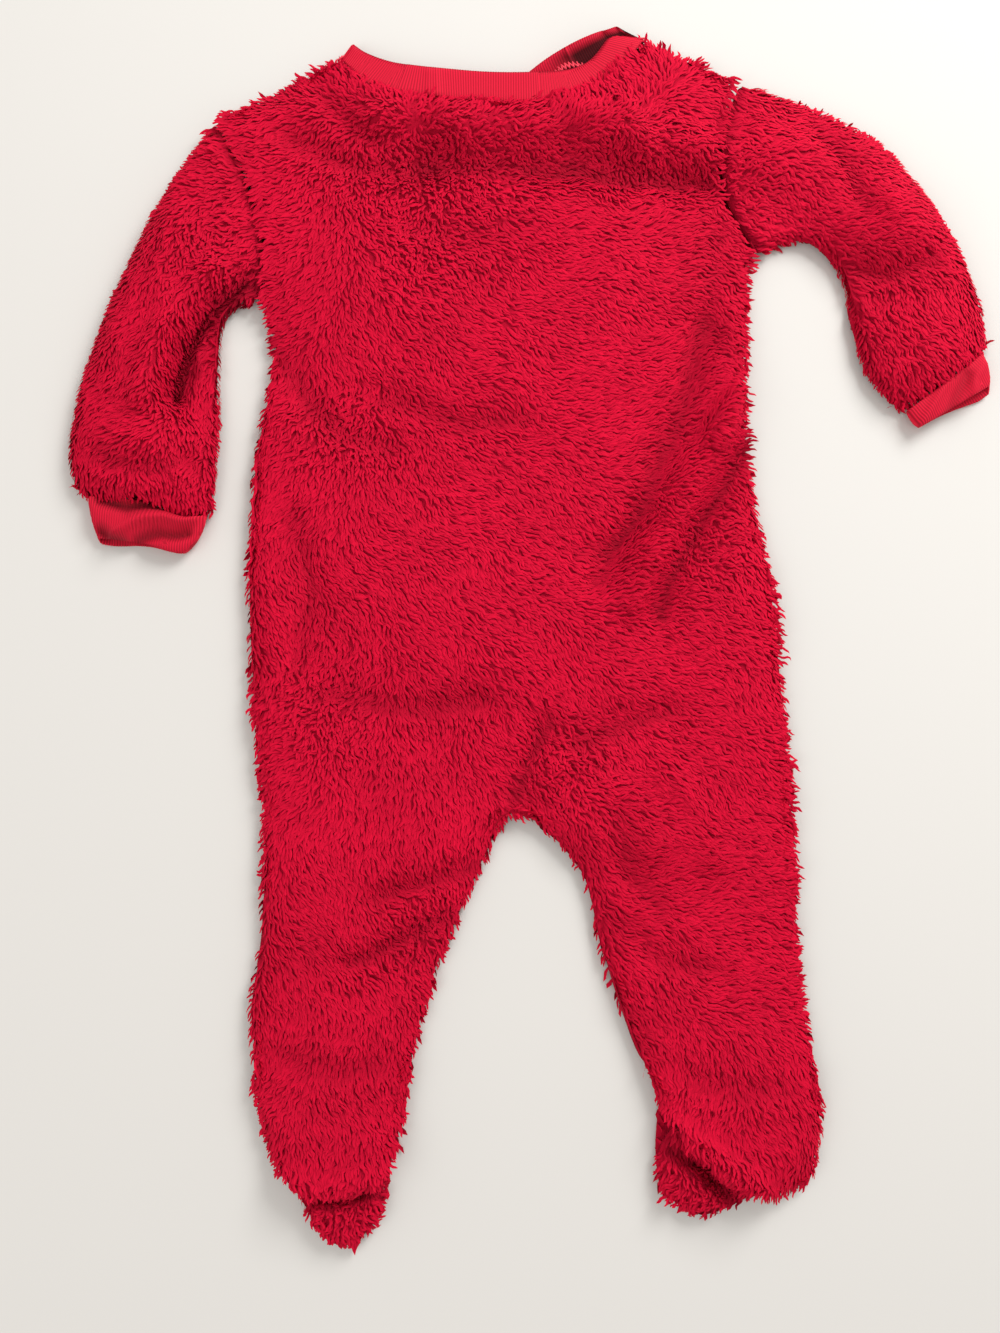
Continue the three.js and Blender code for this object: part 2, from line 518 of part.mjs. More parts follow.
// ---- Zip: hidden on the underside, closed, with its pull lying back along the chain ----
function box(name, material, [x0, x1], [y0, y1], [z0, z1]) {
  const geometry = new THREE.BoxGeometry(x1 - x0, y1 - y0, z1 - z0);
  geometry.translate((x0 + x1) / 2, (y0 + y1) / 2, (z0 + z1) / 2);
  const mesh = new THREE.Mesh(geometry, material);
  mesh.name = name;
  return mesh;
}
function toManifold(geometry) {
  const bare = new THREE.BufferGeometry();
  const loose = geometry.index ? geometry.toNonIndexed() : geometry;
  bare.setAttribute("position", loose.getAttribute("position"));
  const merged = mergeVertices(bare, 1e-4);
  const vertProperties = merged.attributes.position.array;
  const triVerts = new Uint32Array(merged.index.array);
  return new wasm.Manifold(new wasm.Mesh({ numProp: 3, vertProperties, triVerts }));
}
function fromManifold(name, material, manifold) {
  const { vertProperties, triVerts } = manifold.getMesh();
  const geometry = new THREE.BufferGeometry();
  geometry.setAttribute("position", new THREE.BufferAttribute(vertProperties, 3));
  geometry.setIndex(new THREE.BufferAttribute(triVerts, 1)).computeVertexNormals();
  const mesh = new THREE.Mesh(geometry, material);
  mesh.name = name;
  return mesh;
}
const tapeZ = [lowerWall + seamGap, lowerWall + seamGap + zip.tapeWall];
const tapeInner = zip.chainWidth / 2 + seamGap;
const pinY = zipEnds.top + seamGap + 3;
// An outline in the YZ plane, extruded along X from x0 to x1.
function extrudedAlongX(shape, x0, x1) {
  const options = { depth: x1 - x0, bevelEnabled: false, curveSegments: 8 };
  const geometry = new THREE.ExtrudeGeometry(shape, options);
  return geometry.applyMatrix4(new THREE.Matrix4().makeBasis(
    new THREE.Vector3(0, 1, 0), new THREE.Vector3(0, 0, 1), new THREE.Vector3(1, 0, 0))).translate(x0, 0, 0);
}
function slider() {
  const plan = new THREE.Shape();
  const low = zipEnds.top + seamGap;
  const [half, high] = [zip.sliderWidth / 2, low + zip.sliderLength];
  plan.moveTo(zipX - half * 0.6, low).lineTo(zipX + half * 0.6, low).lineTo(zipX + half, high - 2);
  plan.lineTo(zipX + half * 0.7, high).lineTo(zipX - half * 0.7, high).lineTo(zipX - half, high - 2);
  const thick = zip.sliderHigh - zip.sliderLow;
  const body = new THREE.ExtrudeGeometry(plan, { depth: thick, bevelEnabled: false });
  body.translate(0, 0, zip.sliderLow);
  const ear = new THREE.Shape();
  ear.moveTo(pinY - 1.5, zip.sliderLow + 0.2).lineTo(pinY - 1.5, 0.9).lineTo(pinY - 0.7, 0.4);
  ear.lineTo(pinY + 0.7, 0.4).lineTo(pinY + 1.5, 0.9).lineTo(pinY + 1.5, zip.sliderLow + 0.2);
  const hole = new THREE.Path();
  hole.absarc(pinY, zip.pinZ, zip.holeRadius, 0, 2 * Math.PI, false);
  ear.holes.push(hole);
  const earX = zip.sliderWidth / 2 - zip.earInset;
  let solid = toManifold(body);
  for (const x0 of [zipX - earX, zipX + earX - zip.earWidth]) {
    solid = solid.add(toManifold(extrudedAlongX(ear, x0, x0 + zip.earWidth)));
  }
  return fromManifold("zip_slider", zipMetal, solid);
}
function pull() {
  const pinHalf = zip.sliderWidth / 2 - zip.earInset - 0.1;
  const pin = new THREE.CylinderGeometry(zip.pinRadius, zip.pinRadius, 2 * pinHalf, 16);
  pin.rotateZ(Math.PI / 2).translate(zipX, pinY, zip.pinZ);
  const tab = new THREE.Shape();
  const half = zip.pullWidth / 2;
  tab.moveTo(zipX - half * 0.75, pinY).lineTo(zipX - half * 0.75, pinY - 6).lineTo(zipX - half, pinY - 9);
  tab.lineTo(zipX - half, pinY - zip.pullLength + half);
  tab.absarc(zipX, pinY - zip.pullLength + half, half, Math.PI, 2 * Math.PI, false);
  tab.lineTo(zipX + half, pinY - 9).lineTo(zipX + half * 0.75, pinY - 6).lineTo(zipX + half * 0.75, pinY);
  const eye = new THREE.Path();
  eye.absarc(zipX, pinY - zip.pullLength + half + 0.6, 1.1, 0, 2 * Math.PI, true);
  tab.holes.push(eye);
  const options = { depth: zip.pullWall, bevelEnabled: false, curveSegments: 12 };
  const plate = new THREE.ExtrudeGeometry(tab, options);
  plate.translate(0, 0, zip.pinZ - zip.pullWall / 2);
  return fromManifold("zip_pull", zipMetal, toManifold(plate).add(toManifold(pin)));
}

// ---- The garment ----
const garment = new THREE.Group();
garment.add(
  back,
  front("front_left", -1),
  front("front_right", 1),
  sleeve("sleeve_left", seams.sleeveOutLeft, seams.sleeveInLeft, seams.armholeLeft),
  sleeve("sleeve_right", seams.sleeveOutRight, seams.sleeveInRight, seams.armholeRight),
  cuff("cuff_left", cuffs.left),
  cuff("cuff_right", cuffs.right),
  neckband(),
  footTop("foot_top_left", footTops.left),
  footTop("foot_top_right", footTops.right),
  sole("sole_left", soles.left),
  sole("sole_right", soles.right),
  box("zip_tape_left", zipTape, [zipX - tapeInner - zip.tapeWidth, zipX - tapeInner],
    [zipEnds.bottom - zipTaper, zipEnds.top], tapeZ),
  box("zip_tape_right", zipTape, [zipX + tapeInner, zipX + tapeInner + zip.tapeWidth],
    [zipEnds.bottom - zipTaper, zipEnds.top], tapeZ),
  box("zip_chain", zipTape, [zipX - zip.chainWidth / 2, zipX + zip.chainWidth / 2],
    [zipEnds.bottom, zipEnds.top], [zip.chainLow, tapeZ[1]]),
  slider(),
  pull(),
);

// The origin is under the middle of the laid-out garment, on the table.
const extent = new THREE.Box3().setFromObject(garment);
const middle = extent.getCenter(new THREE.Vector3());
garment.position.set(-middle.x, -middle.y, -extent.min.z);
export default garment;
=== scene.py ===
import math
import bmesh
import bpy
import numpy as np
from mathutils import Matrix, Vector, noise
from mathutils.bvhtree import BVHTree


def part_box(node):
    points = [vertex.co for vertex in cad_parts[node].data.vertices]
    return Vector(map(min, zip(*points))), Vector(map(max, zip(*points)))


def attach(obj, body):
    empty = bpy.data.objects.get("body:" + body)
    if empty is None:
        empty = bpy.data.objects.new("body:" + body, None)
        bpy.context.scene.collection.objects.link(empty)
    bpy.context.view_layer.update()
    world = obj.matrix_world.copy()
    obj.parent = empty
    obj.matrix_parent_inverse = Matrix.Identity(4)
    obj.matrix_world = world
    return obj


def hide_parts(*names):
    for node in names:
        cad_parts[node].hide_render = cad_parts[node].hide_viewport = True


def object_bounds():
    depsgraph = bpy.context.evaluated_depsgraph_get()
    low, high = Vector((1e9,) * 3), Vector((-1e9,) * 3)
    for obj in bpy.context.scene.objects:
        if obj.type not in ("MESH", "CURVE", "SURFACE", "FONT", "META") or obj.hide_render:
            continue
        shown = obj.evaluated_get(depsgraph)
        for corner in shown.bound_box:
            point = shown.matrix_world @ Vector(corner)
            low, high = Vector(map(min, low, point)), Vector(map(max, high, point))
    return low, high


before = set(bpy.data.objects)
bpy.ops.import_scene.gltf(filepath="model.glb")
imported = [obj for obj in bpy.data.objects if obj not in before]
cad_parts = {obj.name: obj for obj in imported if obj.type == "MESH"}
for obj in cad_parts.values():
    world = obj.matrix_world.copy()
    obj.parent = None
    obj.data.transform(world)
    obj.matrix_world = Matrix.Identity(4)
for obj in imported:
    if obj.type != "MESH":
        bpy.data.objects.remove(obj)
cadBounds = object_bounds()
low, high = cadBounds
middle = (low + high) / 2
mm = 0.001
body = "garment"


def linear(code):  # sRGB hex to the linear RGBA that shader sockets take
    parts = [int(code[i:i + 2], 16) / 255 for i in (0, 2, 4)]
    return [c / 12.92 if c <= 0.04045 else ((c + 0.055) / 1.055) ** 2.4 for c in parts] + [1]


def addNode(material, kind, values=None, links=None, **settings):
    node = material.node_tree.nodes.new(kind)
    for name, value in settings.items():
        setattr(node, name, value)
    for name, value in (values or {}).items():
        node.inputs[name].default_value = value
    for name, socket in (links or {}).items():
        material.node_tree.links.new(socket, node.inputs[name])
    return node


def newMaterial(name, **surface):
    material = bpy.data.materials.new(name)
    material.use_nodes = True
    shader = material.node_tree.nodes["Principled BSDF"]
    for socket, value in surface.items():
        shader.inputs[socket.replace("_", " ")].default_value = value
    return material, shader


def addObject(name, mesh, material):
    obj = bpy.data.objects.new(name, mesh)
    bpy.context.scene.collection.objects.link(obj)
    mesh.materials.clear()
    mesh.materials.append(material)
    mesh.shade_smooth()
    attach(obj, body)
    return obj


def arrayMesh(name, verts, faces):
    mesh = bpy.data.meshes.new(name)
    mesh.from_pydata(verts, [], faces)
    mesh.update()
    return mesh


def vertArrays(mesh):
    co = np.empty(len(mesh.vertices) * 3)
    no = np.empty(len(mesh.vertices) * 3)
    mesh.vertices.foreach_get("co", co)
    mesh.vertices.foreach_get("normal", no)
    return co.reshape(-1, 3), no.reshape(-1, 3)


def unit(vectors):
    return vectors / np.maximum(np.linalg.norm(vectors, axis=1, keepdims=True), 1e-9)


# copies of one small shape joined as one piece; each place is the matrix that puts a copy there
def repeated(name, bm, places, material):
    bm.verts.ensure_lookup_table()
    shape = np.array([v.co for v in bm.verts])
    corners = [[v.index for v in f.verts] for f in bm.faces]
    bm.free()
    verts = np.vstack([shape @ np.array(place.to_3x3()).T + np.array(place.translation)
                       for place in places])
    faces = [[k + i * len(shape) for k in face] for i in range(len(places)) for face in corners]
    return addObject(name, arrayMesh(name, verts, faces), material)


def stitchShape(length, radius):  # a short rod with pinched ends
    sides = 6
    bm = bmesh.new()
    bmesh.ops.create_cone(bm, cap_ends=True, segments=sides, radius1=radius, radius2=radius,
                          depth=length * 0.7)
    for cap in [f for f in bm.faces if len(f.verts) == sides]:
        bmesh.ops.inset_region(bm, faces=[cap], thickness=radius * 0.5, depth=length * 0.13)
    return bm


def placed(point, direction):  # lays a shape's own Z along a direction, at a point
    along = Vector(direction).normalized()
    side = Vector((0, 0, 1)).cross(along).normalized()
    matrix = Matrix((side, along.cross(side), along)).transposed().to_4x4()
    matrix.translation = point
    return matrix


def noiseAt(points, size, seed):  # smooth, from -1 to 1, with lumps of the given size
    shift = Vector((seed * 7.31, seed * 3.17, seed * 1.73))
    return np.array([noise.noise(Vector(p) / size + shift) for p in points])


# long plush pile, polyester fibre crimped and brushed: matt, red with painted shade deep at the roots, tips
# lighter and pinker and partly painted highlight, fine fibres along each lock, and painted shade where a lock
# sits down in a fold, where hardly any light gets in
plushPile, shader = newMaterial("plushPile", Roughness=0.7, Specular_IOR_Level=0.05, Sheen_Weight=0.08,
                                Sheen_Roughness=0.4, Sheen_Tint=linear("FF2A50"))
along = addNode(plushPile, "ShaderNodeAttribute", attribute_name="along")
tone = addNode(plushPile, "ShaderNodeAttribute", attribute_name="tone")
fibre = addNode(plushPile, "ShaderNodeAttribute", attribute_name="fibre")
hollowShade = addNode(plushPile, "ShaderNodeAttribute", attribute_name="hollowShade")
# the lock's red, with painted shade darkening it towards the root among the other locks and a lighter, pinker
# tip that is partly painted highlight
redWithRootShade = addNode(plushPile, "ShaderNodeValToRGB", links={"Fac": along.outputs["Fac"]})
redWithRootShade.color_ramp.elements[0].color = linear("B4062A")
redWithRootShade.color_ramp.elements[1].color = linear("C90C30")
redWithRootShade.color_ramp.elements[1].position = 0.8
strands = addNode(plushPile, "ShaderNodeTexNoise", {"Scale": 1.0, "Detail": 2.0},
                  {"Vector": fibre.outputs["Vector"]})
shade = addNode(plushPile, "ShaderNodeMapRange", {"To Min": 0.83, "To Max": 1.16},
                {"Value": tone.outputs["Fac"]})
streak = addNode(plushPile, "ShaderNodeMapRange",
                 {"From Min": 0.3, "From Max": 0.7, "To Min": 0.87, "To Max": 1.13},
                 {"Value": strands.outputs["Fac"]})
shadeStreak = addNode(plushPile, "ShaderNodeMath", None, {0: shade.outputs[0], 1: streak.outputs[0]},
                      operation="MULTIPLY")
# painted shade: a lock deep in a trough is dimmed down to a fifth of its colour
shadeDimming = addNode(plushPile, "ShaderNodeMapRange", {"To Min": 1.0, "To Max": 0.2},
                 {"Value": hollowShade.outputs["Fac"]})
strength = addNode(plushPile, "ShaderNodeMath", None, {0: shadeStreak.outputs[0], 1: shadeDimming.outputs[0]},
                   operation="MULTIPLY")
tinted = addNode(plushPile, "ShaderNodeVectorMath", None,
                 {0: redWithRootShade.outputs["Color"], "Scale": strength.outputs[0]}, operation="SCALE")
strandBump = addNode(plushPile, "ShaderNodeBump", {"Strength": 0.5, "Distance": 0.0003},
                     {"Height": strands.outputs["Fac"]})
plushPile.node_tree.links.new(tinted.outputs[0], shader.inputs["Base Color"])
plushPile.node_tree.links.new(strandBump.outputs["Normal"], shader.inputs["Normal"])

# ground cloth of the plush, a warp knit that is only glimpsed between the locks: darker, matt
plushGround, shader = newMaterial("plushGround", Roughness=0.9, Specular_IOR_Level=0.1,
                                  Base_Color=linear("AE0628"))
coords = addNode(plushGround, "ShaderNodeTexCoord")
knit = addNode(plushGround, "ShaderNodeTexNoise", {"Scale": 900.0, "Detail": 1.0},
               {"Vector": coords.outputs["Object"]})
knitBump = addNode(plushGround, "ShaderNodeBump", {"Strength": 0.6, "Distance": 0.0004},
                   {"Height": knit.outputs["Fac"]})
plushGround.node_tree.links.new(knitBump.outputs["Normal"], shader.inputs["Normal"])

# cotton rib knit: brighter and flatter than the pile, with painted shade darkening the grooves between wales,
# the cuffs' creases and the inside of the neck's end
ribKnit, shader = newMaterial("ribKnit", Roughness=0.8, Specular_IOR_Level=0.2, Sheen_Weight=0.2,
                              Sheen_Tint=linear("FF3A58"))
groove = addNode(ribKnit, "ShaderNodeAttribute", attribute_name="groove")
hollowShade = addNode(ribKnit, "ShaderNodeAttribute", attribute_name="hollowShade")
# painted shade: the rib's colour darkens from wale to groove, where shade falls between the ribs
ribColourGrooveShade = addNode(ribKnit, "ShaderNodeMix", None, {0: groove.outputs["Fac"]}, data_type="RGBA")
ribColourGrooveShade.inputs[6].default_value = linear("DE1236")  # on a wale
ribColourGrooveShade.inputs[7].default_value = linear("A00420")  # in a groove
# painted shade: the rib dims down to a tenth of its colour deep in a cuff's crease and inside the neck's end
shadeDimming = addNode(ribKnit, "ShaderNodeMapRange", {"To Min": 1.0, "To Max": 0.1},
                 {"Value": hollowShade.outputs["Fac"]})
ribShade = addNode(ribKnit, "ShaderNodeVectorMath", None,
                   {0: ribColourGrooveShade.outputs[2], "Scale": shadeDimming.outputs[0]}, operation="SCALE")
coords = addNode(ribKnit, "ShaderNodeTexCoord")
stitches = addNode(ribKnit, "ShaderNodeTexNoise", {"Scale": 1600.0, "Detail": 1.0},
                   {"Vector": coords.outputs["Object"]})
stitchBump = addNode(ribKnit, "ShaderNodeBump", {"Strength": 0.4, "Distance": 0.0002},
                     {"Height": stitches.outputs["Fac"]})
ribKnit.node_tree.links.new(ribShade.outputs[0], shader.inputs["Base Color"])
ribKnit.node_tree.links.new(stitchBump.outputs["Normal"], shader.inputs["Normal"])

# zip tape: woven polyester twill, a shade darker than the pile, with a fine slanting weave
zipWeave, shader = newMaterial("zipWeave", Roughness=0.7, Base_Color=linear("A50A22"))
coords = addNode(zipWeave, "ShaderNodeTexCoord")
twill = addNode(zipWeave, "ShaderNodeTexWave", {"Scale": 160.0, "Distortion": 0.6},
                {"Vector": coords.outputs["Object"]}, bands_direction="DIAGONAL")
twillBump = addNode(zipWeave, "ShaderNodeBump", {"Strength": 0.5, "Distance": 0.0002},
                    {"Height": twill.outputs["Fac"]})
zipWeave.node_tree.links.new(twillBump.outputs["Normal"], shader.inputs["Normal"])

# zip coil: moulded nylon filament, smooth with a soft gloss
nylonCoil, shader = newMaterial("nylonCoil", Roughness=0.38, Base_Color=linear("B20C28"))
coords = addNode(nylonCoil, "ShaderNodeTexCoord")
wornGloss = addNode(nylonCoil, "ShaderNodeTexNoise", {"Scale": 300.0}, {"Vector": coords.outputs["Object"]})
gloss = addNode(nylonCoil, "ShaderNodeMapRange", {"To Min": 0.3, "To Max": 0.5},
                {"Value": wornGloss.outputs["Fac"]})
nylonCoil.node_tree.links.new(gloss.outputs[0], shader.inputs["Roughness"])

# slider: die-cast zinc under baked red enamel, slightly rippled and duller where it is handled
sliderEnamel, shader = newMaterial("sliderEnamel", Base_Color=linear("B00E28"), Coat_Weight=0.4)
coords = addNode(sliderEnamel, "ShaderNodeTexCoord")
handling = addNode(sliderEnamel, "ShaderNodeTexNoise", {"Scale": 420.0, "Detail": 3.0},
                   {"Vector": coords.outputs["Object"]})
dulled = addNode(sliderEnamel, "ShaderNodeMapRange", {"To Min": 0.22, "To Max": 0.45},
                 {"Value": handling.outputs["Fac"]})
peel = addNode(sliderEnamel, "ShaderNodeBump", {"Strength": 0.15, "Distance": 0.0001},
               {"Height": handling.outputs["Fac"]})
sliderEnamel.node_tree.links.new(dulled.outputs[0], shader.inputs["Roughness"])
sliderEnamel.node_tree.links.new(peel.outputs["Normal"], shader.inputs["Normal"])

# sewing thread: spun polyester, matched to the rib, with a soft sheen
sewingThread, shader = newMaterial("sewingThread", Roughness=0.6, Base_Color=linear("E0203F"),
                                   Sheen_Weight=0.2)
coords = addNode(sewingThread, "ShaderNodeTexCoord")
twist = addNode(sewingThread, "ShaderNodeTexNoise", {"Scale": 2500.0}, {"Vector": coords.outputs["Object"]})
twistBump = addNode(sewingThread, "ShaderNodeBump", {"Strength": 0.4, "Distance": 0.0001},
                    {"Height": twist.outputs["Fac"]})
sewingThread.node_tree.links.new(twistBump.outputs["Normal"], shader.inputs["Normal"])
print("materials made")

# creases over the CAD's folds: the line, height, and reach to each side, all in millimetres
creases = [
    # the roll under the neckband and the slack below it
    {"line": [(-83, 272), (-27, 266), (28, 268), (72, 260), (96, 250)], "height": 3.5, "reach": 9},
    {"line": [(-58, 249), (-10, 246), (42, 244), (90, 237)], "height": -5.4, "reach": 7},
    {"line": [(-6, 243), (30, 241), (78, 235)], "height": -2.6, "reach": 4},
    {"line": [(-126, 262), (-90, 246), (-50, 243)], "height": -3.4, "reach": 7},
    {"line": [(-46, 272), (-32, 256), (-28, 244)], "height": 2.4, "reach": 5},
    {"line": [(8, 276), (16, 262), (18, 250)], "height": -2.4, "reach": 5},
    {"line": [(50, 276), (52, 262), (62, 252)], "height": 2.4, "reach": 6},
    {"line": [(-112, 290), (-100, 272), (-84, 262)], "height": -2.2, "reach": 6},
    # the waist fold, running down from the right side, and the troughs along it
    {"line": [(108, 118), (92, 92), (74, 60), (60, 34), (50, 10)], "height": 5.0, "reach": 6},
    {"line": [(121, 110), (104, 82), (86, 50), (70, 24), (64, 4)], "height": -8.0, "reach": 4.5},
    {"line": [(88, 162), (80, 121), (59, 72), (31, 22)], "height": -5.5, "reach": 7},
    {"line": [(60, 60), (44, 44), (24, 40)], "height": -3.0, "reach": 6},
    {"line": [(114, 150), (105, 120), (94, 98)], "height": 2.8, "reach": 5},
    {"line": [(96, 206), (92, 176), (98, 150)], "height": -2.4, "reach": 7},
    # drags from the left armpit and across the chest
    {"line": [(-136, 156), (-106, 106), (-76, 96)], "height": -5.0, "reach": 6},
    {"line": [(-76, 122), (-38, 108), (-8, 112)], "height": -4.0, "reach": 7},
    {"line": [(-124, 60), (-118, 20), (-122, -20)], "height": -3.4, "reach": 6},
    {"line": [(-60, 214), (-30, 206), (-4, 212)], "height": -2.0, "reach": 8},
    # slack over the seat and at the crotch
    {"line": [(-108, -34), (-64, -42), (-26, -38)], "height": -4.2, "reach": 6},
    {"line": [(22, -62), (46, -50), (72, -44)], "height": -5.0, "reach": 5},
    {"line": [(-12, -88), (-2, -68), (6, -50)], "height": -6.5, "reach": 5},
    {"line": [(4, -84), (16, -72), (32, -66)], "height": 3.2, "reach": 5},
    {"line": [(66, -70), (86, -96), (90, -124)], "height": 3.0, "reach": 8},
    {"line": [(42, -100), (46, -130), (62, -150)], "height": -3.2, "reach": 6},
    # behind the knees and above the feet
    {"line": [(-42, -150), (-70, -164), (-96, -174)], "height": -5.6, "reach": 5},
    {"line": [(-28, -122), (-58, -134), (-82, -140)], "height": -4.6, "reach": 6},
    {"line": [(46, -158), (62, -172), (90, -180)], "height": -3.2, "reach": 6},
    {"line": [(80, -232), (102, -240), (126, -238)], "height": -2.8, "reach": 7},
    {"line": [(-130, -222), (-102, -230), (-78, -226)], "height": -2.8, "reach": 7},
    # each leg's end stands proud of the foot turned under it, with a dark gap between
    {"line": [(-126, -282), (-112, -290), (-94, -288), (-76, -284)], "height": 3.0, "reach": 5},
    {"line": [(-112, -297), (-96, -298), (-78, -292)], "height": -7.0, "reach": 3.5},
    {"line": [(74, -256), (86, -266), (100, -278), (118, -288)], "height": 4.0, "reach": 6},
    {"line": [(64, -260), (75, -272), (90, -284), (104, -296), (116, -302)], "height": -9.0, "reach": 4},
    # sleeves: the pleat at the left elbow, the bend of the right one
    {"line": [(-230, 92), (-204, 84), (-182, 90)], "height": -3.0, "reach": 5},
    {"line": [(-150, 184), (-166, 170), (-181, 148), (-189, 124)], "height": -11.5, "reach": 6},
    {"line": [(-168, 188), (-184, 172), (-197, 148), (-202, 122)], "height": 5.0, "reach": 6},
    {"line": [(-216, 92), (-200, 98), (-186, 82)], "height": 2.2, "reach": 6},
    {"line": [(-184, 214), (-194, 186), (-192, 160)], "height": 2.4, "reach": 6},
    {"line": [(152, 262), (166, 244), (174, 222)], "height": -3.2, "reach": 6},
    {"line": [(170, 192), (188, 188), (210, 194)], "height": -4.0, "reach": 5},
    # the armhole seams, where the pile parts a little
    {"line": [(-164, 272), (-150, 244), (-140, 208), (-142, 176)], "height": -0.8, "reach": 3.5},
    {"line": [(111, 293), (101, 260), (103, 226), (119, 198)], "height": -0.8, "reach": 3.5},
]
armholes = [crease["line"] for crease in creases[-2:]]


def fromLine(line, x, y):  # distance of each point from a line of points
    best = np.full(len(x), 1e9)
    for (ax, ay), (bx, by) in zip(line, line[1:]):
        dx, dy = bx - ax, by - ay
        share = np.clip(((x - ax) * dx + (y - ay) * dy) / (dx * dx + dy * dy), 0, 1)
        best = np.minimum(best, np.hypot(x - ax - share * dx, y - ay - share * dy))
    return best


def cleanCopy(node):  # the node's triangles joined back into quads, with shared corners
    bm = bmesh.new()
    bm.from_mesh(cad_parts[node].data)
    bmesh.ops.remove_doubles(bm, verts=bm.verts, dist=0.01 * mm)
    bmesh.ops.join_triangles(bm, faces=bm.faces, angle_face_threshold=3, angle_shape_threshold=3)
    bmesh.ops.recalc_face_normals(bm, faces=bm.faces)
    mesh = bpy.data.meshes.new(node)
    bm.to_mesh(mesh)
    bm.free()
    return mesh


def subdivided(mesh, levels):
    obj = bpy.data.objects.new("smoothing", mesh)
    bpy.context.scene.collection.objects.link(obj)
    smooth = obj.modifiers.new("smooth", "SUBSURF")
    smooth.levels = smooth.render_levels = levels
    depsgraph = bpy.context.evaluated_depsgraph_get()
    made = bpy.data.meshes.new_from_object(obj.evaluated_get(depsgraph))
    bpy.data.objects.remove(obj)
    return made


clothNodes = ["back", "front_left", "front_right", "sleeve_left", "sleeve_right", "cuff_left", "cuff_right",
              "neckband", "foot_top_left", "foot_top_right", "sole_left", "sole_right"]
flatNodes = ["front_left", "front_right", "foot_top_left", "foot_top_right"]
cleanMeshes = {node: cleanCopy(node) for node in clothNodes}
smoothMeshes = {node: subdivided(cleanMeshes[node], 1 if node in flatNodes else 2)
                for node in clothNodes}
wholeBm = bmesh.new()
for node in clothNodes:
    wholeBm.from_mesh(smoothMeshes[node])
wholeTree = BVHTree.FromBMesh(wholeBm)
wholeBm.free()


# how far to look for another layer: straight up or down from a face that lies level, straight out of an edge
hiding = {"level": 0.3, "overLevel": 22 * mm, "overEdge": 2.5 * mm, "start": 0.3}


def isOutside(point, normal):  # true where nothing of the garment lies close in front of the surface
    if abs(normal.z) > hiding["level"]:
        ahead, reach = Vector((0, 0, math.copysign(1, normal.z))), hiding["overLevel"]
    else:
        ahead, reach = normal, hiding["overEdge"]
    return wholeTree.ray_cast(point + ahead * hiding["start"] * mm, ahead, reach)[0] is None


# where the cloth sags sideways beyond the CAD's plain outline: place, shift and reach in millimetres
sags = [{"at": (-181, 67), "by": -7, "reach": 16}, {"at": (-187, 49), "by": -4, "reach": 13}]


def sagged(co):
    flat = co[:, :2] / mm
    for sag in sags:
        away = (flat[:, 0] - sag["at"][0]) ** 2 + (flat[:, 1] - sag["at"][1]) ** 2
        near = np.exp(-away / sag["reach"] ** 2)
        co[:, 1] += sag["by"] * near * mm
    return co


# the cloth's own uneven lie: the size of small and large lumps, and how high each stands, in millimetres
lumpy = {"small": 16, "smallHeight": 0.6, "large": 34, "largeHeight": 0.8}
layer = {"start": 6, "over": 4}  # creases lift only cloth above this height, fully once over it by this much
tableGap = 0.6 * mm  # the cloth's lowest point above the table


def makeShell(piece):
    mesh = smoothMeshes[piece["node"]]
    outside = np.array([isOutside(f.center, f.normal) for f in mesh.polygons])
    push = np.zeros((len(mesh.vertices), 3))
    for face, out in zip(mesh.polygons, outside):
        if out:
            for v in face.vertices:
                push[v] += face.normal
    weight = (np.linalg.norm(push, axis=1) > 0).astype(float)
    co, no = vertArrays(mesh)
    co = co - unit(push) * (piece["pile"] * mm * weight)[:, None]  # leaves room for the pile
    x, y = co[:, 0] / mm, co[:, 1] / mm
    if piece["upper"]:
        lift = sum(c["height"] * np.exp(-(fromLine(c["line"], x, y) / c["reach"]) ** 2) for c in creases)
        rising = np.clip((co[:, 2] / mm - layer["start"]) / layer["over"], 0, 1)
        co[:, 2] += lift * rising * mm
    lumps = (noiseAt(co, lumpy["small"] * mm, 1) * lumpy["smallHeight"]
             + noiseAt(co, lumpy["large"] * mm, 2) * lumpy["largeHeight"])
    co += no * (lumps * weight * piece["lumps"] * mm)[:, None]
    co[:, 2] = np.maximum(co[:, 2], tableGap)
    if piece["node"] == "sleeve_left":
        co = sagged(co)
    mesh.vertices.foreach_set("co", co.ravel())
    mesh.update()
    shell = addObject(piece["node"] + "_cloth", mesh, plushGround)
    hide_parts(piece["node"])
    return shell, outside


# the pile: curly locks, each a curved, tapering blade; a height map keeps them above the cloth they lie on
mapStep = 2 * mm
mapLow = Vector((low.x - 20 * mm, low.y - 20 * mm))
mapSize = (int((high.x - low.x) / mapStep) + 21, int((high.y - low.y) / mapStep) + 21)
mapTop = 0.06  # metres, above every fold
noCloth = -1.0


def topMap(mesh):  # height of the cloth's top over a grid, far below where there is none
    bm = bmesh.new()
    bm.from_mesh(mesh)
    tree = BVHTree.FromBMesh(bm)
    bm.free()
    grid = np.full(mapSize, noCloth)
    co = vertArrays(mesh)[0]
    firstX, firstY = np.maximum(((co[:, :2].min(axis=0) - mapLow[:]) / mapStep).astype(int), 0)
    lastX, lastY = ((co[:, :2].max(axis=0) - mapLow[:]) / mapStep).astype(int) + 2
    for i in range(firstX, min(lastX, mapSize[0])):
        for j in range(firstY, min(lastY, mapSize[1])):
            above = Vector((mapLow.x + i * mapStep, mapLow.y + j * mapStep, mapTop))
            hit = tree.ray_cast(above, Vector((0, 0, -1)))[0]
            if hit:
                grid[i, j] = hit.z
    return grid


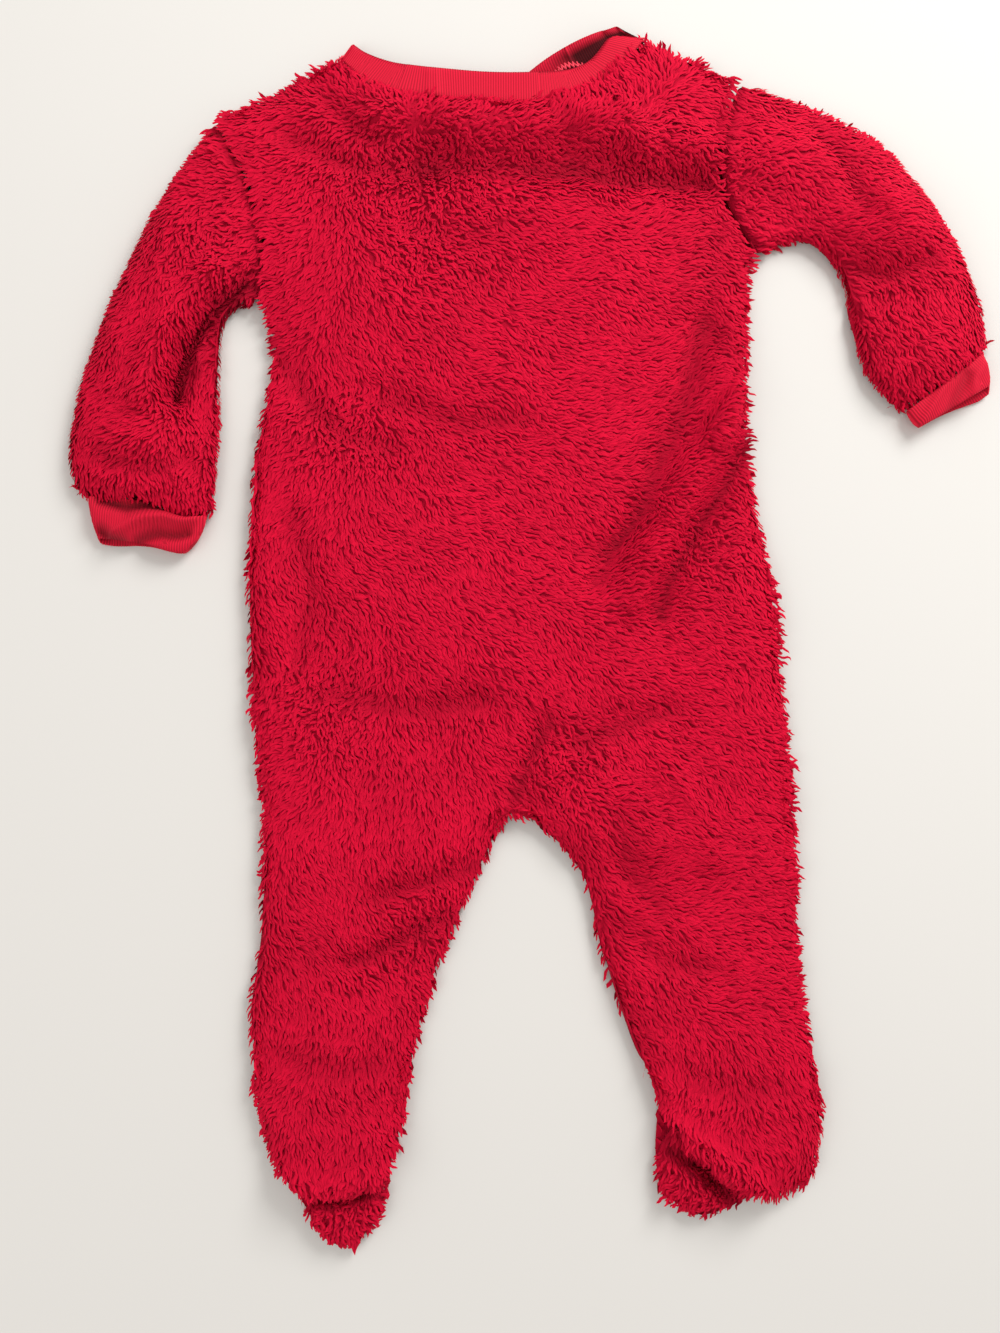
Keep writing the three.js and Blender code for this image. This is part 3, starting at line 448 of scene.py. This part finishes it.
def topAt(grid, points):
    u = np.clip((points[:, 0] - mapLow.x) / mapStep, 0, mapSize[0] - 1.001)
    v = np.clip((points[:, 1] - mapLow.y) / mapStep, 0, mapSize[1] - 1.001)
    i, j = u.astype(int), v.astype(int)
    fu, fv = u - i, v - j
    return ((grid[i, j] * (1 - fu) + grid[i + 1, j] * fu) * (1 - fv)
            + (grid[i, j + 1] * (1 - fu) + grid[i + 1, j + 1] * fu) * fv)


# which way the pile leans: place in millimetres and direction in degrees
lean = [
    (-92, 292, 120), (-76, 286, 100), (-50, 282, 70), (-22, 281, 60), (10, 282, 70), (38, 286, 80),
    (50, 288, 130), (62, 297, 150), (74, 306, 100), (-108, 280, 170), (-78, 270, 200), (-40, 270, -5),
    (0, 268, -15), (46, 268, -5), (80, 282, 10), (-78, 252, -80), (-40, 252, -70), (0, 250, -60),
    (42, 250, -70), (92, 262, -20), (-108, 262, -130), (-68, 205, -62), (52, 205, -8), (12, 180, -20),
    (102, 200, -20), (108, 230, -20), (104, 284, -20), (-28, 130, -35), (62, 130, 12), (2, 80, -28),
    (-58, 40, -40), (-116, 90, -115), (100, 105, -5), (84, 78, -12), (66, 48, -25), (112, 60, -60),
    (112, 20, -62), (52, 10, -20), (2, 0, -30), (-38, -30, -64), (62, -40, -50), (112, -80, -30),
    (-108, -60, -120), (-58, -110, -75), (22, -90, -40), (72, -130, -20), (112, -180, 8),
    (62, -200, -40), (122, -270, -75), (92, -262, -100), (-98, -170, -50), (-118, -220, -100),
    (-78, -230, -70), (-96, -280, -90), (-96, -315, -80), (92, -300, -140), (-150, 244, 190),
    (-140, 206, 200), (-172, 250, 215), (-190, 200, 225), (-213, 150, 235), (-203, 110, 205),
    (-180, 120, -80), (-203, 76, -85), (142, 270, -30), (182, 240, -15), (217, 205, -35),
    (212, 165, -70), (230, 145, -60),
]
leanAt = np.array([(x, y) for x, y, _ in lean])
leanTo = np.array([(math.cos(math.radians(a)), math.sin(math.radians(a))) for _, _, a in lean])

# where the pile is ruffled into small curls instead of combed: place and reach in millimetres
ruffled = [(-54, 211, 34), (-16, 262, 30), (-70, 262, 34), (60, 258, 30), (-95, 110, 30), (92, 42, 22),
           (16, -75, 24), (-104, -43, 30), (-60, -160, 24), (-170, 200, 20), (110, 240, 20),
           (-96, -310, 30), (90, -296, 26)]
ruffleEdge = {"trim": 0.1, "ragged": 0.35, "size": 40}  # how far and how raggedly the ruffles end


def ruffleAt(points):  # 0 where the pile is combed, up to 1 where it is ruffled
    flat = points[:, :2] / mm
    near = sum(np.exp(-((flat[:, 0] - x) ** 2 + (flat[:, 1] - y) ** 2) / reach ** 2)
               for x, y, reach in ruffled)
    ragged = ruffleEdge["ragged"] * noiseAt(points, ruffleEdge["size"] * mm, 7)
    return np.clip(near - ruffleEdge["trim"] + ragged, 0, 1)


# the trough depth in millimetres at which a lock's painted shade is full
fullShadeTrough = {"depth": 12, "curve": 1.3}  # the trough in millimetres in which a lock is darkest


# painted shade for the locks in the creases' troughs: how deep each one stands, from 0 to 1
def troughShadeAt(points):  # how deep in a trough each lock stands, from 0 to 1
    x, y = points[:, 0] / mm, points[:, 1] / mm
    troughs = [c for c in creases if c["height"] < 0]
    depth = sum(-c["height"] * np.exp(-(fromLine(c["line"], x, y) / c["reach"]) ** 2) for c in troughs)
    return np.clip(depth / fullShadeTrough["depth"], 0, 1) ** fullShadeTrough["curve"]


# how the pile wanders from its combed lean: swirls' sizes in millimetres and their turns in radians
wander = {"wide": 26, "wideTurn": 0.9, "fine": 9, "fineTurn": 0.3, "ruffledTurn": 1.2,
          "own": 0.08, "ruffledOwn": 0.28, "blend": 6}
overhang = {"from": 0.45, "over": 0.35, "pull": 1.8}  # on steep cloth the pile hangs outwards


def leanDirection(points, normals, ruffle, dice):  # level headings of the locks
    flat = points[:, :2] / mm
    gap = np.linalg.norm(flat[:, None, :] - leanAt[None], axis=2)
    share = 1 / (gap + wander["blend"]) ** 3
    heading = (share[:, :, None] * leanTo[None]).sum(axis=1)
    slope = np.linalg.norm(normals[:, :2], axis=1, keepdims=True)
    hanging = np.clip((slope - overhang["from"]) / overhang["over"], 0, 1)
    heading = unit(heading) + overhang["pull"] * normals[:, :2] * hanging
    angle = np.arctan2(heading[:, 1], heading[:, 0])
    fineTurn = wander["fineTurn"] + wander["ruffledTurn"] * ruffle
    angle += (wander["wideTurn"] * noiseAt(points, wander["wide"] * mm, 3)
              + fineTurn * noiseAt(points, wander["fine"] * mm, 4))
    angle += dice.normal(0, wander["own"] + wander["ruffledOwn"] * ruffle)
    return np.stack([np.cos(angle), np.sin(angle), np.zeros(len(angle))], axis=1)


# tries for each lock's room, and the least gap as a share of the spacing, smaller on upright edges
packing = {"tries": 3.2, "apart": 0.78, "closer": 0.16}


# points about one spacing apart over the chosen faces, with the shell's smooth normals
def scatter(mesh, chosen, spacing, dice):
    mesh.calc_loop_triangles()
    co, no = vertArrays(mesh)
    tris = np.array([t.vertices[:] for t in mesh.loop_triangles if chosen[t.polygon_index]])
    a, b, c = co[tris[:, 0]], co[tris[:, 1]], co[tris[:, 2]]
    areas = np.linalg.norm(np.cross(b - a, c - a), axis=1) / 2
    tries = int(packing["tries"] * areas.sum() / spacing ** 2)
    pick = dice.choice(len(tris), tries, p=areas / areas.sum())
    u, v = dice.random(tries), dice.random(tries)
    u, v = np.where(u + v > 1, 1 - u, u), np.where(u + v > 1, 1 - v, v)
    mix = np.stack([1 - u - v, u, v], axis=1)
    points = np.einsum("ij,ijk->ik", mix, co[tris[pick]])
    normals = unit(np.einsum("ij,ijk->ik", mix, no[tris[pick]]))
    kept, grid = [], {}
    keys = np.floor(points / spacing).astype(int)
    for i in range(tries):
        x, y, z = keys[i]
        near = (j for dx in (-1, 0, 1) for dy in (-1, 0, 1) for dz in (-1, 0, 1)
                for j in grid.get((x + dx, y + dy, z + dz), ()))
        p = points[i]
        apart = (packing["apart"] - packing["closer"] * (1 - abs(normals[i][2]))) * spacing
        if any((p[0] - q[0]) ** 2 + (p[1] - q[1]) ** 2 + (p[2] - q[2]) ** 2 < apart ** 2 for q in near):
            continue
        grid.setdefault((x, y, z), []).append(p)
        kept.append(i)
    return points[kept], normals[kept]


# a lock's make: how ruffled pile and upright edges change it, how it rises, droops, curls and tapers
lock = {"ruffledShort": 0.3, "edgeShort": 0.28, "ruffledLift": 0.3, "ruffledWave": 0.35,
        "upSpread": (0.5, 1.5), "ruffledUp": 0.12, "edgeUp": 0.3, "foreshort": 0.35, "droop": 1.35,
        "sunk": 0.3, "sway": 1.7, "curl": 0.25, "curls": 1.6, "clear": 0.9, "mostRise": 6,
        "butt": 0.14, "taper": 0.8, "fullness": 0.6}
# how round it shades, how much of its tone is its own, and how its fibres run
lockLook = {"out": 0.9, "up": 0.5, "aside": 0.6, "own": 0.55, "patch": 0.45, "patchSize": 30,
            "across": 5, "along": 1.6, "shift": 97}


def pileMesh(name, points, normals, piece, dice, grid):
    count, segments = len(points), piece["segments"]
    ruffle = ruffleAt(points)
    sideways = np.clip(np.linalg.norm(normals[:, :2], axis=1) * 1.2 - 0.2, 0, 1)  # 1 on upright edges
    heading = leanDirection(points, normals, ruffle, dice)
    flow = unit(heading - normals * (heading * normals).sum(axis=1, keepdims=True))
    across = np.cross(normals, flow)
    length = piece["length"] * mm * dice.uniform(*piece["lengthSpread"], count)
    length = length * (1 - lock["ruffledShort"] * ruffle) * (1 - lock["edgeShort"] * sideways)
    lift = piece["lift"] * mm * dice.uniform(*piece["liftSpread"], count) * (1 + lock["ruffledLift"] * ruffle)
    width = piece["width"] * mm * dice.uniform(*piece["widthSpread"], count)
    wave = piece["wave"] * mm * (1 + lock["ruffledWave"] * ruffle)
    phase = dice.random(count)
    upright = (piece["upright"] * dice.uniform(*lock["upSpread"], count) + lock["ruffledUp"] * ruffle
               + lock["edgeUp"] * sideways)
    rings = []
    for k in range(segments + 1):
        s = k / segments
        forward = length * s * (1 - lock["foreshort"] * upright)
        height = lift * (s * (2 - lock["droop"] * s)) + length * upright * s - lock["sunk"] * mm
        path = points + flow * forward[:, None]
        curl = np.sin(2 * math.pi * (lock["curls"] * s + phase))
        sway = wave * (lock["sway"] * noiseAt(path, piece["ripple"] * mm, 5) + lock["curl"] * curl)
        ring = path + normals * height[:, None] + across * sway[:, None]
        over = topAt(grid, ring) + height * lock["clear"] - ring[:, 2]  # how far the cloth has risen into it
        risen = (normals[:, 2] > 0.2) & (over > 0) & (over < lock["mostRise"] * mm)
        ring[:, 2] += np.where(risen, over, 0)
        rings.append(ring)
    verts, rounded, along = [], [], []
    for k in range(segments + 1):
        direction = unit(rings[min(k + 1, segments)] - rings[max(k - 1, 0)])
        side = unit(np.cross(normals, direction))
        up = np.cross(direction, side)
        leaf = math.sin(math.pi * (lock["butt"] + lock["taper"] * k / segments)) ** lock["fullness"]
        half = (width / 2 * leaf)[:, None]
        edges = (-1, 1) if k < segments else (0,)  # the last point is the tip
        for edge in edges:
            verts.append(rings[k] + side * half * edge)
            rounded.append(unit(lockLook["out"] * normals + lockLook["up"] * up
                                + side * edge * lockLook["aside"]))
            along.append(k / segments)
    perLock = len(verts)
    allVerts = np.stack(verts, axis=1).reshape(-1, 3)
    allVerts[:, 2] = np.maximum(allVerts[:, 2], piece["floor"] * mm)
    patterns = [(2 * k, 2 * k + 2, 2 * k + 3, 2 * k + 1) for k in range(segments - 1)]
    patterns.append((2 * segments - 2, 2 * segments, 2 * segments - 1))
    base = np.arange(count) * perLock
    faces = []
    for pattern in patterns:
        faces += (base[:, None] + np.array(pattern)[None]).tolist()
    mesh = arrayMesh(name, allVerts, faces)
    own = dice.random(count)
    patch = 0.5 + 0.5 * noiseAt(points, lockLook["patchSize"] * mm, 6)
    tones = np.repeat(lockLook["own"] * own + lockLook["patch"] * patch, perLock)
    acrossValue = np.array([0, 1] * segments + [0.5])
    fibres = np.stack([np.tile(acrossValue * lockLook["across"], count),
                       np.tile(np.array(along) * lockLook["along"], count),
                       np.repeat(own * lockLook["shift"], perLock)], axis=1)
    mesh.calc_loop_triangles()
    mesh.attributes.new("along", "FLOAT", "POINT").data.foreach_set("value", np.tile(along, count))
    mesh.attributes.new("tone", "FLOAT", "POINT").data.foreach_set("value", tones)
    # painted shade for the locks sunk in troughs, only on the side that shows
    hollowShades = np.repeat(troughShadeAt(points), perLock) if piece["upper"] else np.zeros(count * perLock)
    mesh.attributes.new("hollowShade", "FLOAT", "POINT").data.foreach_set("value", hollowShades)
    mesh.attributes.new("fibre", "FLOAT_VECTOR", "POINT").data.foreach_set("vector", fibres.ravel())
    mesh.shade_smooth()
    roundNormals = np.stack(rounded, axis=1).reshape(-1, 3)  # each flat lock shades as a round one
    mesh.normals_split_custom_set_from_vertices(roundNormals)
    return mesh


# locks near an armhole seam stand a little higher and lie across it
seamCover = {"reach": 7, "above": 3.2 * mm, "raise": 1.5, "slope": 0.2, "turn": 0.25}


def addPile(piece, shell, outside, seed):
    dice = np.random.default_rng(seed)
    points, normals = scatter(shell.data, outside, piece["spacing"] * mm, dice)
    grid = topMap(shell.data) if piece["upper"] else np.full(mapSize, noCloth)
    toSeam = np.min([fromLine(line, points[:, 0] / mm, points[:, 1] / mm) for line in armholes], axis=0)
    bridging = (toSeam < seamCover["reach"]) & (points[:, 2] > seamCover["above"]) & piece["upper"]
    normals[bridging] = unit(seamCover["turn"] * normals[bridging] + np.array([0, 0, 1]))
    points[bridging, 2] += (seamCover["raise"] - seamCover["slope"] * toSeam[bridging]) * mm
    pieces = []
    cuts = piece.get("cuts", [])
    zones = np.digitize(points[:, 1] / mm, sorted(cuts))
    for zone in range(len(cuts) + 1):
        here = zones == zone
        name = f"{piece['node']}_pile" + (f"_{zone + 1}" if cuts else "")
        mesh = pileMesh(name, points[here], normals[here], piece, dice, grid)
        pieces.append(addObject(name, mesh, plushPile))
    print(piece["node"], "locks", len(points), "triangles", sum(len(p.data.loop_triangles) for p in pieces))
    return pieces


# the locks' sizes, in millimetres, on the side that shows and on the one that lies on the table
spread = {"lengthSpread": (0.75, 1.2), "liftSpread": (0.85, 1.15), "widthSpread": (0.8, 1.25)}
upper = {"upper": True, "pile": 2.6, "spacing": 1.66, "length": 8.5, "lift": 1.6, "width": 1.4, "wave": 1.0,
         "ripple": 4.2, "segments": 6, "upright": 0.05, "floor": 0.3, "lumps": 0.9, **spread}
under = {"upper": False, "pile": 2.0, "spacing": 3.2, "length": 9, "lift": 1.6, "width": 2.2, "wave": 0.9,
         "ripple": 6, "segments": 3, "upright": 0.03, "floor": 0.2, "lumps": 0.25, **spread}
plushPieces = [
    {"node": "back", **upper, "cuts": [-95, 30, 160], "flat": (0.33, 0.64), "area": 0.160,
     "restsOn": ["front_left", "front_right"]},
    {"node": "sleeve_left", **upper, "flat": (0.20, 0.23), "area": 0.034, "restsOn": []},
    {"node": "sleeve_right", **upper, "flat": (0.20, 0.23), "area": 0.034, "restsOn": []},
    {"node": "sole_left", **upper, "flat": (0.05, 0.08), "area": 0.003, "restsOn": ["foot_top_left"]},
    {"node": "sole_right", **upper, "flat": (0.08, 0.085), "area": 0.004, "restsOn": ["foot_top_right"]},
    {"node": "front_left", **under, "flat": (0.165, 0.56), "area": 0.066, "restsOn": []},
    {"node": "front_right", **under, "flat": (0.17, 0.57), "area": 0.070, "restsOn": []},
    {"node": "foot_top_left", **under, "flat": (0.085, 0.09), "area": 0.005, "restsOn": []},
    {"node": "foot_top_right", **under, "flat": (0.095, 0.075), "area": 0.006, "restsOn": []},
]
for number, piece in enumerate(plushPieces):
    shell, outside = makeShell(piece)
    pile = addPile(piece, shell, outside, 11 + number)
print("plush done")

wale = 1.35 * mm  # from one rib to the next, on the cuffs and the neckband
grooveDepth = 0.18 * mm


# sinks the cloth between ribs, and keeps how deep each point is for the material's painted shade in the
# grooves
def withGroove(mesh, place):
    groove = 0.5 - 0.5 * np.cos(2 * math.pi * place / wale)
    co, no = vertArrays(mesh)
    co -= no * (grooveDepth * groove)[:, None]
    mesh.vertices.foreach_set("co", co.ravel())
    mesh.attributes.new("groove", "FLOAT", "POINT").data.foreach_set("value", groove)
    mesh.update()


# how thick a cuff lies and the crease depth at which its painted shade is fullest, in millimetres, and the
# cuts for its ribs
cuffMake = {"thick": 8, "fullShadeDepth": 7, "cuts": 3}


def makeCuff(piece):
    mesh = smoothMeshes[piece["node"]]
    across = Vector(piece["across"]).normalized()
    alongArm = Vector((across.y, -across.x, 0))
    bm = bmesh.new()
    bm.from_mesh(mesh)
    around = [e for e in bm.edges
              if abs((e.verts[1].co - e.verts[0].co).normalized().dot(alongArm)) < 0.6]
    bmesh.ops.subdivide_edges(bm, edges=around, cuts=cuffMake["cuts"], use_grid_fill=True)
    bm.to_mesh(mesh)
    bm.free()
    co = vertArrays(mesh)[0]
    upperHalf = np.clip(co[:, 2] / mm / cuffMake["thick"], 0, 1)
    # painted shade, deepest in each crease's trough on the upper half of the cuff
    hollowShades = np.zeros(len(co))
    for crease in piece["creases"]:
        away = fromLine(crease["line"], co[:, 0] / mm, co[:, 1] / mm)
        depth = crease["height"] * np.exp(-(away / crease["reach"]) ** 2)
        co[:, 2] += depth * upperHalf * mm
        hollowShades = np.maximum(hollowShades, -depth * upperHalf / cuffMake["fullShadeDepth"])
    straight = co @ np.array(across)
    if piece["node"] == "cuff_left":
        co = sagged(co)
    mesh.vertices.foreach_set("co", co.ravel())
    mesh.update()
    mesh.attributes.new("hollowShade", "FLOAT", "POINT").data.foreach_set("value", hollowShades)
    withGroove(mesh, straight)
    cuff = addObject(piece["node"] + "_rib", mesh, ribKnit)
    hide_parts(piece["node"])


makeCuff({"node": "cuff_left", "across": (64, -5, 0), "flat": (0.13, 0.024), "creases": [
    {"line": [(-222, 46), (-208, 55), (-192, 62), (-178, 62)], "height": 4.6, "reach": 2.6},
    {"line": [(-228, 66), (-214, 62), (-200, 66), (-184, 69)], "height": -4.6, "reach": 3},
    {"line": [(-208, 44), (-196, 51), (-182, 54)], "height": -4.0, "reach": 3},
    {"line": [(-228, 49), (-222, 45), (-216, 43)], "height": -4.5, "reach": 3},
]})
makeCuff({"node": "cuff_right", "across": (42, 32, 0), "flat": (0.106, 0.018), "creases": [
    {"line": [(208, 106), (216, 120), (222, 130)], "height": 2.0, "reach": 2.5},
    {"line": [(222, 108), (226, 120), (232, 132)], "height": -2.0, "reach": 3},
    {"line": [(236, 118), (236, 130), (242, 138)], "height": 1.6, "reach": 3},
]})


# the band's sections in order from one end, each as four corners: seam low, seam high, edge high, edge low
def bandStations(node, start):
    bm = bmesh.new()
    bm.from_mesh(cleanMeshes[node])
    nearEnd = sorted(bm.verts, key=lambda v: abs(v.co.x - start[0]) + 0.2 * abs(v.co.y - start[1]))[:4]
    nearEnd.sort(key=lambda v: v.co.y)
    seamSide = sorted(nearEnd[:2], key=lambda v: v.co.z)
    edgeSide = sorted(nearEnd[2:], key=lambda v: -v.co.z)
    section = seamSide + edgeSide
    stations, done = [], set()
    while section:
        stations.append([v.co.copy() for v in section])
        done.update(section)
        beyond = {e.other_vert(v) for v in section for e in v.link_edges} - done
        if len(beyond) < 4:
            break
        ordered = []
        for v in section:
            closest = min(beyond, key=lambda w: (w.co - v.co).length)
            beyond.discard(closest)
            ordered.append(closest)
        section = ordered
    bm.free()
    return stations


def throughPoints(points):  # many points along a smooth curve through the given ones
    points = np.array(points)
    padded = np.vstack([2 * points[0] - points[1], points, 2 * points[-1] - points[-2]])
    fine = []
    for p0, p1, p2, p3 in zip(padded, padded[1:], padded[2:], padded[3:]):
        t = np.linspace(0, 1, 40, endpoint=False)[:, None]
        fine.append(0.5 * (2 * p1 + (p2 - p0) * t + (2 * p0 - 5 * p1 + 4 * p2 - p3) * t ** 2
                           + (3 * p1 - p0 - 3 * p2 + p3) * t ** 3))
    return np.vstack(fine + [points[-1:]])


def evened(values):  # a running mean, with the ends kept
    reach = 9  # samples to each side
    ends = np.pad(values, reach, mode="reflect", reflect_type="odd")
    return np.convolve(ends, np.full(2 * reach + 1, 1 / (2 * reach + 1)), mode="valid")


def makeNeckband(piece):
    stations = bandStations(piece["node"], piece["start"])
    print("neckband stations", len(stations))
    corners = [throughPoints([s[c] for s in stations]) for c in range(4)]
    centre = sum(corners) / 4
    length = np.concatenate([[0], np.cumsum(np.linalg.norm(np.diff(centre, axis=0), axis=1))])
    places = np.arange(0, length[-1], wale / 4)
    rails = [np.stack([evened(np.interp(places, length, corner[:, i])) for i in range(3)], axis=1)
             for corner in corners]
    seam, edge = (rails[0] + rails[1]) / 2, (rails[2] + rails[3]) / 2
    thick = unit(rails[1] - rails[0] + rails[2] - rails[3])
    reach = unit(edge - seam)
    seam = seam - reach * (piece["tuck"] * mm)  # against the panels' edges
    deep = np.linalg.norm(edge - seam, axis=1)
    curl = piece["curl"]
    onFront = (seam[:, 2] < piece["frontBelow"]) & (seam[:, 0] > zipLine.x)
    share = np.clip((edge[:, 0] / mm - curl["from"]) / (curl["to"] - curl["from"]), 0, 1)
    stand = np.where(onFront, np.sin(math.pi * share ** 1.2), 0) * curl["height"] * mm
    # painted shade inside the neck's end, where the front half stands up
    insideShade = piece["insideShade"]
    deepIn = (np.clip((share - insideShade["from"]) / insideShade["grow"], 0, 1)
              * np.clip((insideShade["to"] - share) / insideShade["fade"], 0, 1))
    shadow = np.where(onFront, deepIn, 0)  # little light reaches into the neck's end
    rows, hollowShades = [], []
    steps, thickness, fold = piece["steps"], piece["halfThick"] * mm, piece["fold"]
    for side in (1, -1):
        for k in range(steps + 1):
            t = k / steps if side == 1 else 1 - k / steps
            past = (t - fold) / piece["foldLong"]  # the section rounds off over the fold
            half = thickness * (1 - max(0, past) ** 2) ** 0.5 if t > fold else thickness
            if side == -1 and k == 0:
                continue  # the fold at the free edge is one shared row
            turned = deep * t - stand * curl["turn"] * max(0, t - curl["bend"]) ** 1.5
            rows.append(seam + reach * turned[:, None] + thick * side * half
                        + np.array([0, 0, 1]) * (stand * t ** 1.2)[:, None])
            hollowShades.append(shadow * np.clip((insideShade["depth"] - t) / insideShade["edgeFade"], 0, 1))
    around = len(rows)
    verts = np.stack(rows, axis=1).reshape(-1, 3)
    faces = [(i * around + k, i * around + (k + 1) % around,
              (i + 1) * around + (k + 1) % around, (i + 1) * around + k)
             for i in range(len(places) - 1) for k in range(around)]
    lastRing = (len(places) - 1) * around
    faces += [tuple(range(around - 1, -1, -1)), tuple(lastRing + k for k in range(around))]
    mesh = arrayMesh("neckband_rib", verts, faces)
    bm = bmesh.new()
    bm.from_mesh(mesh)
    bmesh.ops.recalc_face_normals(bm, faces=bm.faces)
    bm.to_mesh(mesh)
    bm.free()
    darkness = np.stack(hollowShades, axis=1).ravel()
    mesh.attributes.new("hollowShade", "FLOAT", "POINT").data.foreach_set("value", darkness)
    withGroove(mesh, np.repeat(places, around))
    band = addObject("neckband_rib", mesh, ribKnit)
    overlock = piece["overlock"]
    inner = [k for k in range(0, len(places), overlock["every"]) if seam[k, 2] < piece["frontBelow"]]
    loops = []
    for i, k in enumerate(inner):
        bump = (seam[k, 0] / mm - overlock["from"]) / (overlock["to"] - overlock["from"])
        rise = overlock["rise"] * math.sin(math.pi * bump) ** 0.7 if 0 < bump < 1 else 0
        above = stand[k] * (rise / deep[k]) ** 1.2 + overlock["above"]
        point = Vector(seam[k]) + Vector(reach[k]) * rise + Vector((0, 0, 1)) * above
        slant = Vector(reach[k]) + 0.35 * (-1) ** i * Vector(reach[k]).cross(Vector((0, 0, 1)))
        loops.append(placed(point + Vector(reach[k]) * overlock["long"] * 0.2, slant))
    repeated("neck_overlock", stitchShape(overlock["long"], overlock["thick"]), loops, sewingThread)
    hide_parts(piece["node"])


zipLine = (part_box("zip_tape_left")[0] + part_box("zip_tape_right")[1]) / 2
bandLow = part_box("neckband")[0]
makeNeckband({"node": "neckband", "start": (zipLine.x - 5 * mm, bandLow.y + 6 * mm),
              "tuck": 3.0, "halfThick": 1.05, "frontBelow": 5.5 * mm,
              "steps": 7, "fold": 0.86, "foldLong": 0.14,  # where the fold starts, as a share of the depth
              # the front half stands up where the neck gapes, with painted shade inside it
              "curl": {"from": -8, "to": 54, "height": 11, "turn": 0.9, "bend": 0.55},
              "insideShade": {"from": 0.25, "grow": 0.2, "to": 0.94, "fade": 0.08, "depth": 0.9, "edgeFade": 0.12},
              # its overlocked edge works up into the opening between these places
              "overlock": {"every": 3, "above": 1.9 * mm, "long": 4.2 * mm, "thick": 0.5 * mm,
                           "from": 11, "to": 36, "rise": 10 * mm}})

chainLow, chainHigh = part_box("zip_chain")
coil = {"pitch": 1.4 * mm, "long": 4.4 * mm, "thick": 0.42 * mm}
teeth = np.arange(chainLow.y + coil["pitch"], chainHigh.y, coil["pitch"])
repeated("zip_coil_teeth", stitchShape(coil["long"], coil["thick"]),
         [placed((zipLine.x, y, chainLow.z + 0.05 * mm), (1, 0.12 * (-1) ** i, 0))
          for i, y in enumerate(teeth)], nylonCoil)
tapeSeam = {"pitch": 3.2 * mm, "long": 2.7 * mm, "thick": 0.3 * mm, "offset": 4.1 * mm}
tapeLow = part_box("zip_tape_left")[0]
seamPlaces = [placed((zipLine.x + side * tapeSeam["offset"], y, tapeLow.z - 0.02 * mm), (0, 1, 0))
              for side in (-1, 1)
              for y in np.arange(tapeLow.y + 12 * mm, chainHigh.y - 2 * mm, tapeSeam["pitch"])]
repeated("zip_tape_stitches", stitchShape(tapeSeam["long"], tapeSeam["thick"]), seamPlaces,
         sewingThread)

for node, material in (("zip_tape_left", zipWeave), ("zip_tape_right", zipWeave), ("zip_chain", nylonCoil),
                       ("zip_slider", sliderEnamel), ("zip_pull", sliderEnamel)):
    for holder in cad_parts[node].material_slots:
        holder.material = material
print("rib and zip done")

# a plain floor of pale matt board
floorMaterial = newMaterial("paleFloor", Roughness=0.9, Base_Color=linear("D6D3CE"),
                            Specular_IOR_Level=0.1)[0]
bpy.ops.mesh.primitive_plane_add(size=6, location=(0, 0, 0))  # metres
floor = bpy.context.object
floor.name = "floor"
floor.data.materials.append(floorMaterial)

studio = {"colour": "F2F0EE", "strength": 0.77}
world = bpy.data.worlds.new("studio")
bpy.context.scene.world = world
world.use_nodes = True
world.node_tree.nodes["Background"].inputs["Color"].default_value = linear(studio["colour"])
world.node_tree.nodes["Background"].inputs["Strength"].default_value = studio["strength"]


def softLight(lamp):  # a square light aimed at the garment's middle
    data = bpy.data.lights.new(lamp["name"], "AREA")
    data.size = lamp["size"]
    data.energy = lamp["watts"]
    light = bpy.data.objects.new(lamp["name"], data)
    bpy.context.scene.collection.objects.link(light)
    light.location = lamp["place"]
    light.rotation_euler = (middle - Vector(lamp["place"])).to_track_quat("-Z", "Y").to_euler()


softLight({"name": "keyLight", "place": (0.85, 1.1, 1.0), "size": 0.8, "watts": 27})
softLight({"name": "fillLight", "place": (-1.2, -0.6, 1.4), "size": 1.4, "watts": 8})

camera = {
    "sensor": 36,  # millimetres wide
    "distance": 0.62,  # metres above the table
    "tilt": 2.5,  # degrees towards the feet
    "aim": (-16 * mm, -22.6 * mm, 8 * mm),
    "tall": 0.703,  # metres of table from the top of the frame to the bottom
}
cameraData = bpy.data.cameras.new("camera")
cameraData.sensor_width = camera["sensor"]
cameraData.lens = camera["sensor"] * camera["distance"] / camera["tall"]
cameraObject = bpy.data.objects.new("camera", cameraData)
bpy.context.scene.collection.objects.link(cameraObject)
tilt = math.radians(camera["tilt"])
back = Vector((0, -math.sin(tilt), math.cos(tilt)))
cameraObject.location = Vector(camera["aim"]) + back * camera["distance"]
cameraObject.rotation_mode = "QUATERNION"
cameraObject.rotation_quaternion = (-back).to_track_quat("-Z", "Y")
bpy.context.scene.camera = cameraObject
bpy.context.scene.view_settings.view_transform = "Standard"
print("stage set")
